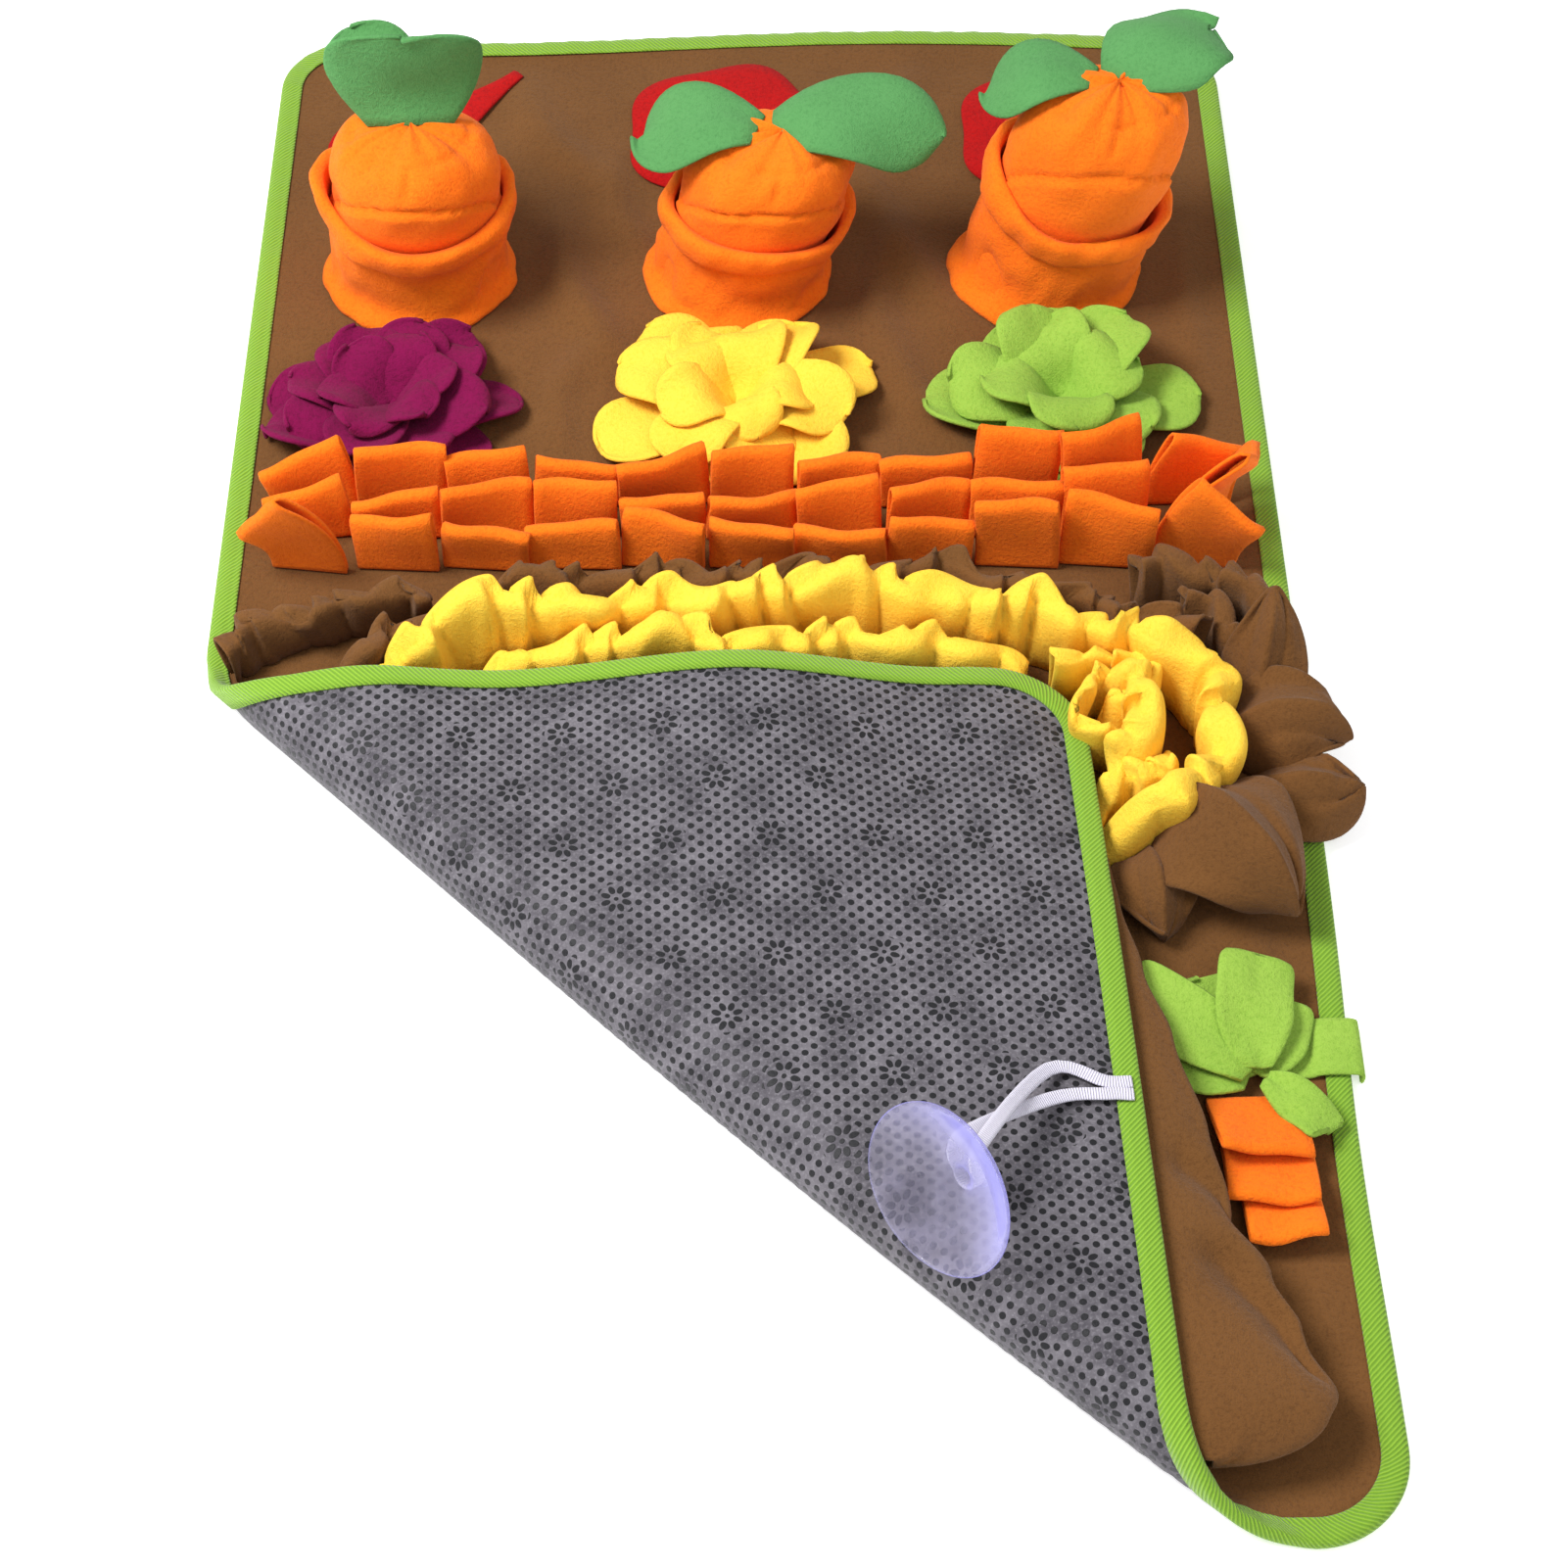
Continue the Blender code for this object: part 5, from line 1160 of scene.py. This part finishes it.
def open_arc(half_x, half_y, first):
    """From where to where a ruffle runs, in degrees: it stops short of the fold on both sides."""
    ends = []
    for step, limit in ((-1, first), (1, first + 344)):
        a = 90
        while a != limit:
            way = math.radians(a + step)
            spot = np.array([RUFFLE_X + half_x * math.cos(way), RUFFLE_Y + half_y * math.sin(way)])
            if (spot - FOLD_START) @ ACROSS > -FOLD_CLEAR:
                break
            a += step
        ends.append(a)
    return ends


def frill(line, pitch, tall, fat, seed, keep_height=False):
    """A strip folded double and gathered at its foot along a line: a puffed loop, creased all along."""
    line = np.array(line, float)
    run = np.concatenate([[0], np.cumsum(np.linalg.norm(np.diff(line, axis=0), axis=1))])
    count = round(run[-1] / FRILL_STEP)

    def after(distance):
        return np.array([np.interp(distance, run, line[:, 0]), np.interp(distance, run, line[:, 1])])

    grid = []
    for i in range(count + 1):
        d = run[-1] * i / count
        at, ahead, behind = after(d), after(d + 0.004), after(d - 0.004)
        along = (ahead - behind) / np.linalg.norm(ahead - behind)
        out = np.array([along[1], -along[0]])
        pressed = 0.0 if keep_height else float(smooth(-0.022, 0.004, under_flap(*at)))
        turn = d / pitch
        sway = 0.0032 * math.sin(turn * 1.9 + seed) + 0.0024 * math.sin(turn * 3.7 + seed * 2)
        row = []
        for c in range(FRILL_ROUND + 1):
            b = math.pi * (c / FRILL_ROUND)  # from the front foot over the fold to the back foot
            level = max(math.sin(b), 0.0) ** 0.62
            face = -math.cos(b)
            own = seed + (0.0 if face < 0 else 2.1)
            phase = turn + 0.34 * math.sin(turn * 1.3 + own) + 0.20 * math.sin(turn * 2.9 + own * 3)
            phase += 0.30 * (level - 0.5) * math.sin(turn * 0.9 + own)
            ridge = abs(math.sin(math.pi * phase)) ** 0.62
            small = phase * 2.3 + 0.35 * math.sin(turn * 2.1 + own) + level * 0.5
            minor = abs(math.sin(math.pi * small)) ** 0.7
            valley = 0.66 * (1 - ridge) + 0.20 * (1 - minor) * (1.15 - level)
            reach = fat * (1 if face > 0 else -1) * abs(face) ** 0.45 * (0.50 + 0.62 * level) * (1 - valley)
            high = 1 + 0.08 * math.sin(turn * 1.1 + seed) + 0.07 * math.sin(turn * 2.7 + own)
            high = tall * (high - 0.20 * (1 - ridge))
            high += (PRESSED_H - high) * pressed
            aside = reach * (1 - 0.4 * pressed) + sway * level + 0.004 * level * math.sin(turn * 0.8 + seed)
            spot = at + out * aside
            spot = spot + along * (0.0026 * math.sin(phase * 2 * math.pi + 1) * level * (1 - pressed))
            row.append((spot[0], spot[1], LOWEST + (high - 0.0014) * level))
        grid.append(row)
    return np.array(grid)


for name, node, material, slot, half_x, half_y, first, pitch, tall, fat in RUFFLES:
    start, end = open_arc(half_x, half_y, first)
    turn = np.radians(np.linspace(start, end, 361))
    ca, sa = np.cos(turn), np.sin(turn)
    x = RUFFLE_X + half_x * (np.sign(ca) * np.abs(ca) ** OVAL_POWER)
    y = RUFFLE_Y + half_y * (np.sign(sa) * np.abs(sa) ** OVAL_POWER)
    line = np.stack([x, y], 1)
    line = line[(line - FOLD_START) @ ACROSS < -FOLD_CLEAR]
    grids = [frill(line, pitch, tall, fat, half_x * 40)]
    if name == "brown_ruffle":
        for stops, end_tall, end_fat in BROWN_ENDS:
            grids.append(frill(through(stops, 12), pitch, end_tall, end_fat, 4.0 + stops[0][0]))
    if name == "yellow_ruffle_narrow":
        curl = list(CURL_START)
        for a, r in zip(np.linspace(1.7, -9.6, 120), np.linspace(CURL_WIDE, CURL_TIGHT, 120)):
            curl.append((CURL_X + r * math.cos(a), CURL_Y + r * math.sin(a)))
        grids.append(frill(curl, pitch=0.017, tall=0.037, fat=0.0046, seed=7.0, keep_height=True))
        grids.append(frill(through(BELOW_CURL, 12), pitch=0.020, tall=0.036, fat=0.0074, seed=2.0))
    frilled = cloth(name, grids, FRILL_T)
    fit(frilled, material, slot, node)

# ================================================================ brown petals
# Big brown fleece petals at the ruffles' right end, each pinched along its middle so that
# its sides hang. They stand up, lean over the binding and lie on the mat.

# root x, y, heading, rises, turn, length, width, crest's height, how unevenly its sides hang
BROWN_PETALS = (
    (0.2235, -0.0440, 66, (50, 58, 50, 40), 20, 0.064, 0.038, 0.014, 0.3),
    (0.2160, -0.0620, 14, (76, 46, 0, -40), -34, 0.058, 0.048, 0.018, -0.5),
    (0.1840, -0.1000, -60, (58, 34, 4, -56), 10, 0.086, 0.070, 0.026, -0.3),
    (0.2190, -0.0860, -26, (46, 20, 6, 40), 34, 0.052, 0.044, 0.015, -0.4),
    (0.1700, -0.1210, -84, (46, 20, -14, -20), 0, 0.046, 0.040, 0.015, 0.2),
)
CREST_ROWS, CREST_COLUMNS = 26, 33
CREST_SHARE, CREST_FILL = 1.25, 0.74  # cut width by seen width, and how much of its square it fills
for i, (x, y, heading, rises, turn, length, wide, crest, uneven) in enumerate(BROWN_PETALS):
    root = (x, y, SEAT + 0.0016)
    grid = []
    for k, at, run, side in spine(root, heading, rises, length, CREST_ROWS, turn):
        up = run.cross(side)
        half = wide / 2 * max(round_ended(k, 0.45, 0.46, 1.35), 0.03)
        ridge = crest * float(np.interp(k, (0, 0.25, 0.5, 0.75, 1), (0.3, 0.8, 1.0, 0.9, 0.3)))
        row = []
        for t in np.linspace(-1, 1, CREST_COLUMNS):
            # a sharp crest along the middle, sides that fall away and turn out again at their edge
            fall = abs(t) ** 0.9 * (1 + uneven * t)
            flare = 0.0075 * max(abs(t) - 0.70, 0) / 0.30 * math.sin(k * 7 + 2.4 * (t > 0) + i * 1.9) * k
            lift = ridge * (1 - fall) + flare
            crease = abs(abs(t) - 0.30 - 0.25 * k)
            sharp = 0.5 + 0.5 * math.sin(i * 2.3 + (3 if t > 0 else 0))
            lift -= 0.0040 * math.exp(-((crease / 0.09) ** 2)) * k * sharp
            lift += 0.0030 * noise.noise(Vector((k * 2.8 + i * 5, t * 2.2, i))) * k
            spot = at + side * half * t * (1 - 0.14 * (1 - abs(t))) + up * lift
            row.append((spot.x, spot.y, max(spot.z, SEAT + 0.0014)))
        grid.append(row)
    leaf = cloth(f"brown_leaf_{i + 1}", [np.array(grid)], CLOTH_T)
    fit(leaf, brown_fleece, "brown_fleece", f"brown_petal_{i + 1}")
    cut = wide * CREST_SHARE
    area = cut * length * CREST_FILL

# ================================================================ lime leaves
# Cut strips of lime fleece with blunt ends, fanned out in two layers from one stitched
# point, as the leaves of a small carrot that is sewn at the mat's edge.
LIME_X, LIME_Y, LIME_ROOT, LIME_FILL = 0.207, -0.236, 0.004, 0.88
BLUNT = (0.42, 0.50, 9.0)
# heading, root's lift, length, width, rises, turn
LIME_LEAVES = (
    (116, 0.0038, 0.050, 0.033, (6, 2, 0, 6), -8),
    (66, 0.0038, 0.036, 0.030, (6, 8, 4), 10),
    (158, 0.0038, 0.036, 0.031, (6, 4, 0), 0),
    (138, 0.0068, 0.064, 0.032, (8, 10, 2, 8), 6),
    (92, 0.0068, 0.052, 0.032, (10, 14, 6, -4), -14),
    (-38, 0.0068, 0.034, 0.020, (10, 2, -4), -20),
)
for i, (heading, lift, length, wide, rises, turn) in enumerate(LIME_LEAVES):
    way = math.radians(heading)
    root = (LIME_X + LIME_ROOT * math.cos(way), LIME_Y + LIME_ROOT * math.sin(way), SEAT + lift + 0.0006 * i)
    tilt = 7 * math.sin(i * 2.0)
    grid = petal(root, heading, rises, length, wide, BLUNT, 0.05, tilt, 0.0022, i * 2.0, turn)
    leaf = cloth(f"lime_strip_{i + 1}", [grid], CLOTH_T)
    fit(leaf, lime_fleece, "lime_fleece", f"lime_leaf_{i + 1}")

# ================================================================ orange loops
# Three more strips of orange fleece, folded double like the fringe's and laid over one
# another as the small carrot's body.

# root x, y, width, leans, height, spin, tip
CARROT_STRIPS = (
    (0.2050, -0.2440, 0.038, (-62, -72), 0.036, 8, 6),
    (0.2080, -0.2660, 0.036, (-64, -74), 0.034, -8, -4),
    (0.2110, -0.2860, 0.030, (-66, -76), 0.030, 6, 2),
)
LOOP_ROOT, LOOP_FAT = SEAT + 0.0026, 0.0017
for i, (x, y, wide, leans, tall, spin, tip) in enumerate(CARROT_STRIPS):
    strip = ((x, y, LOOP_ROOT), wide, tall, leans, spin, tip, LOOP_FAT, i + 0.4)
    fringe(f"orange_loop_{i + 1}", f"carrot_strip_{i + 1}", [strip])

# ================================================================ strap
# A short strap of lime fleece. It is sewn down under the lime leaves, laid over the
# binding and down its side.
STRAP_PATH = (
    (0.2150, LOWEST), (0.2290, LOWEST), (0.2360, TAPE_TOP + 0.0016), (0.2490, TAPE_TOP + 0.0016),
    (0.2520, TAPE_TOP - 0.0006), (0.2520, 0.0012),
)
STRAP_NEAR, STRAP_FAR, STRAP_T = -0.2320, -0.2050, 0.0018
path = through([(x, 0.0, z) for x, z in STRAP_PATH], 6)
grid = [[(x, y, z) for y in np.linspace(STRAP_NEAR, STRAP_FAR, 15)] for x, _, z in path]
strap = cloth("side_strap", [np.array(grid, float)], STRAP_T)
fit(strap, lime_fleece, "lime_fleece", "edge_strap")
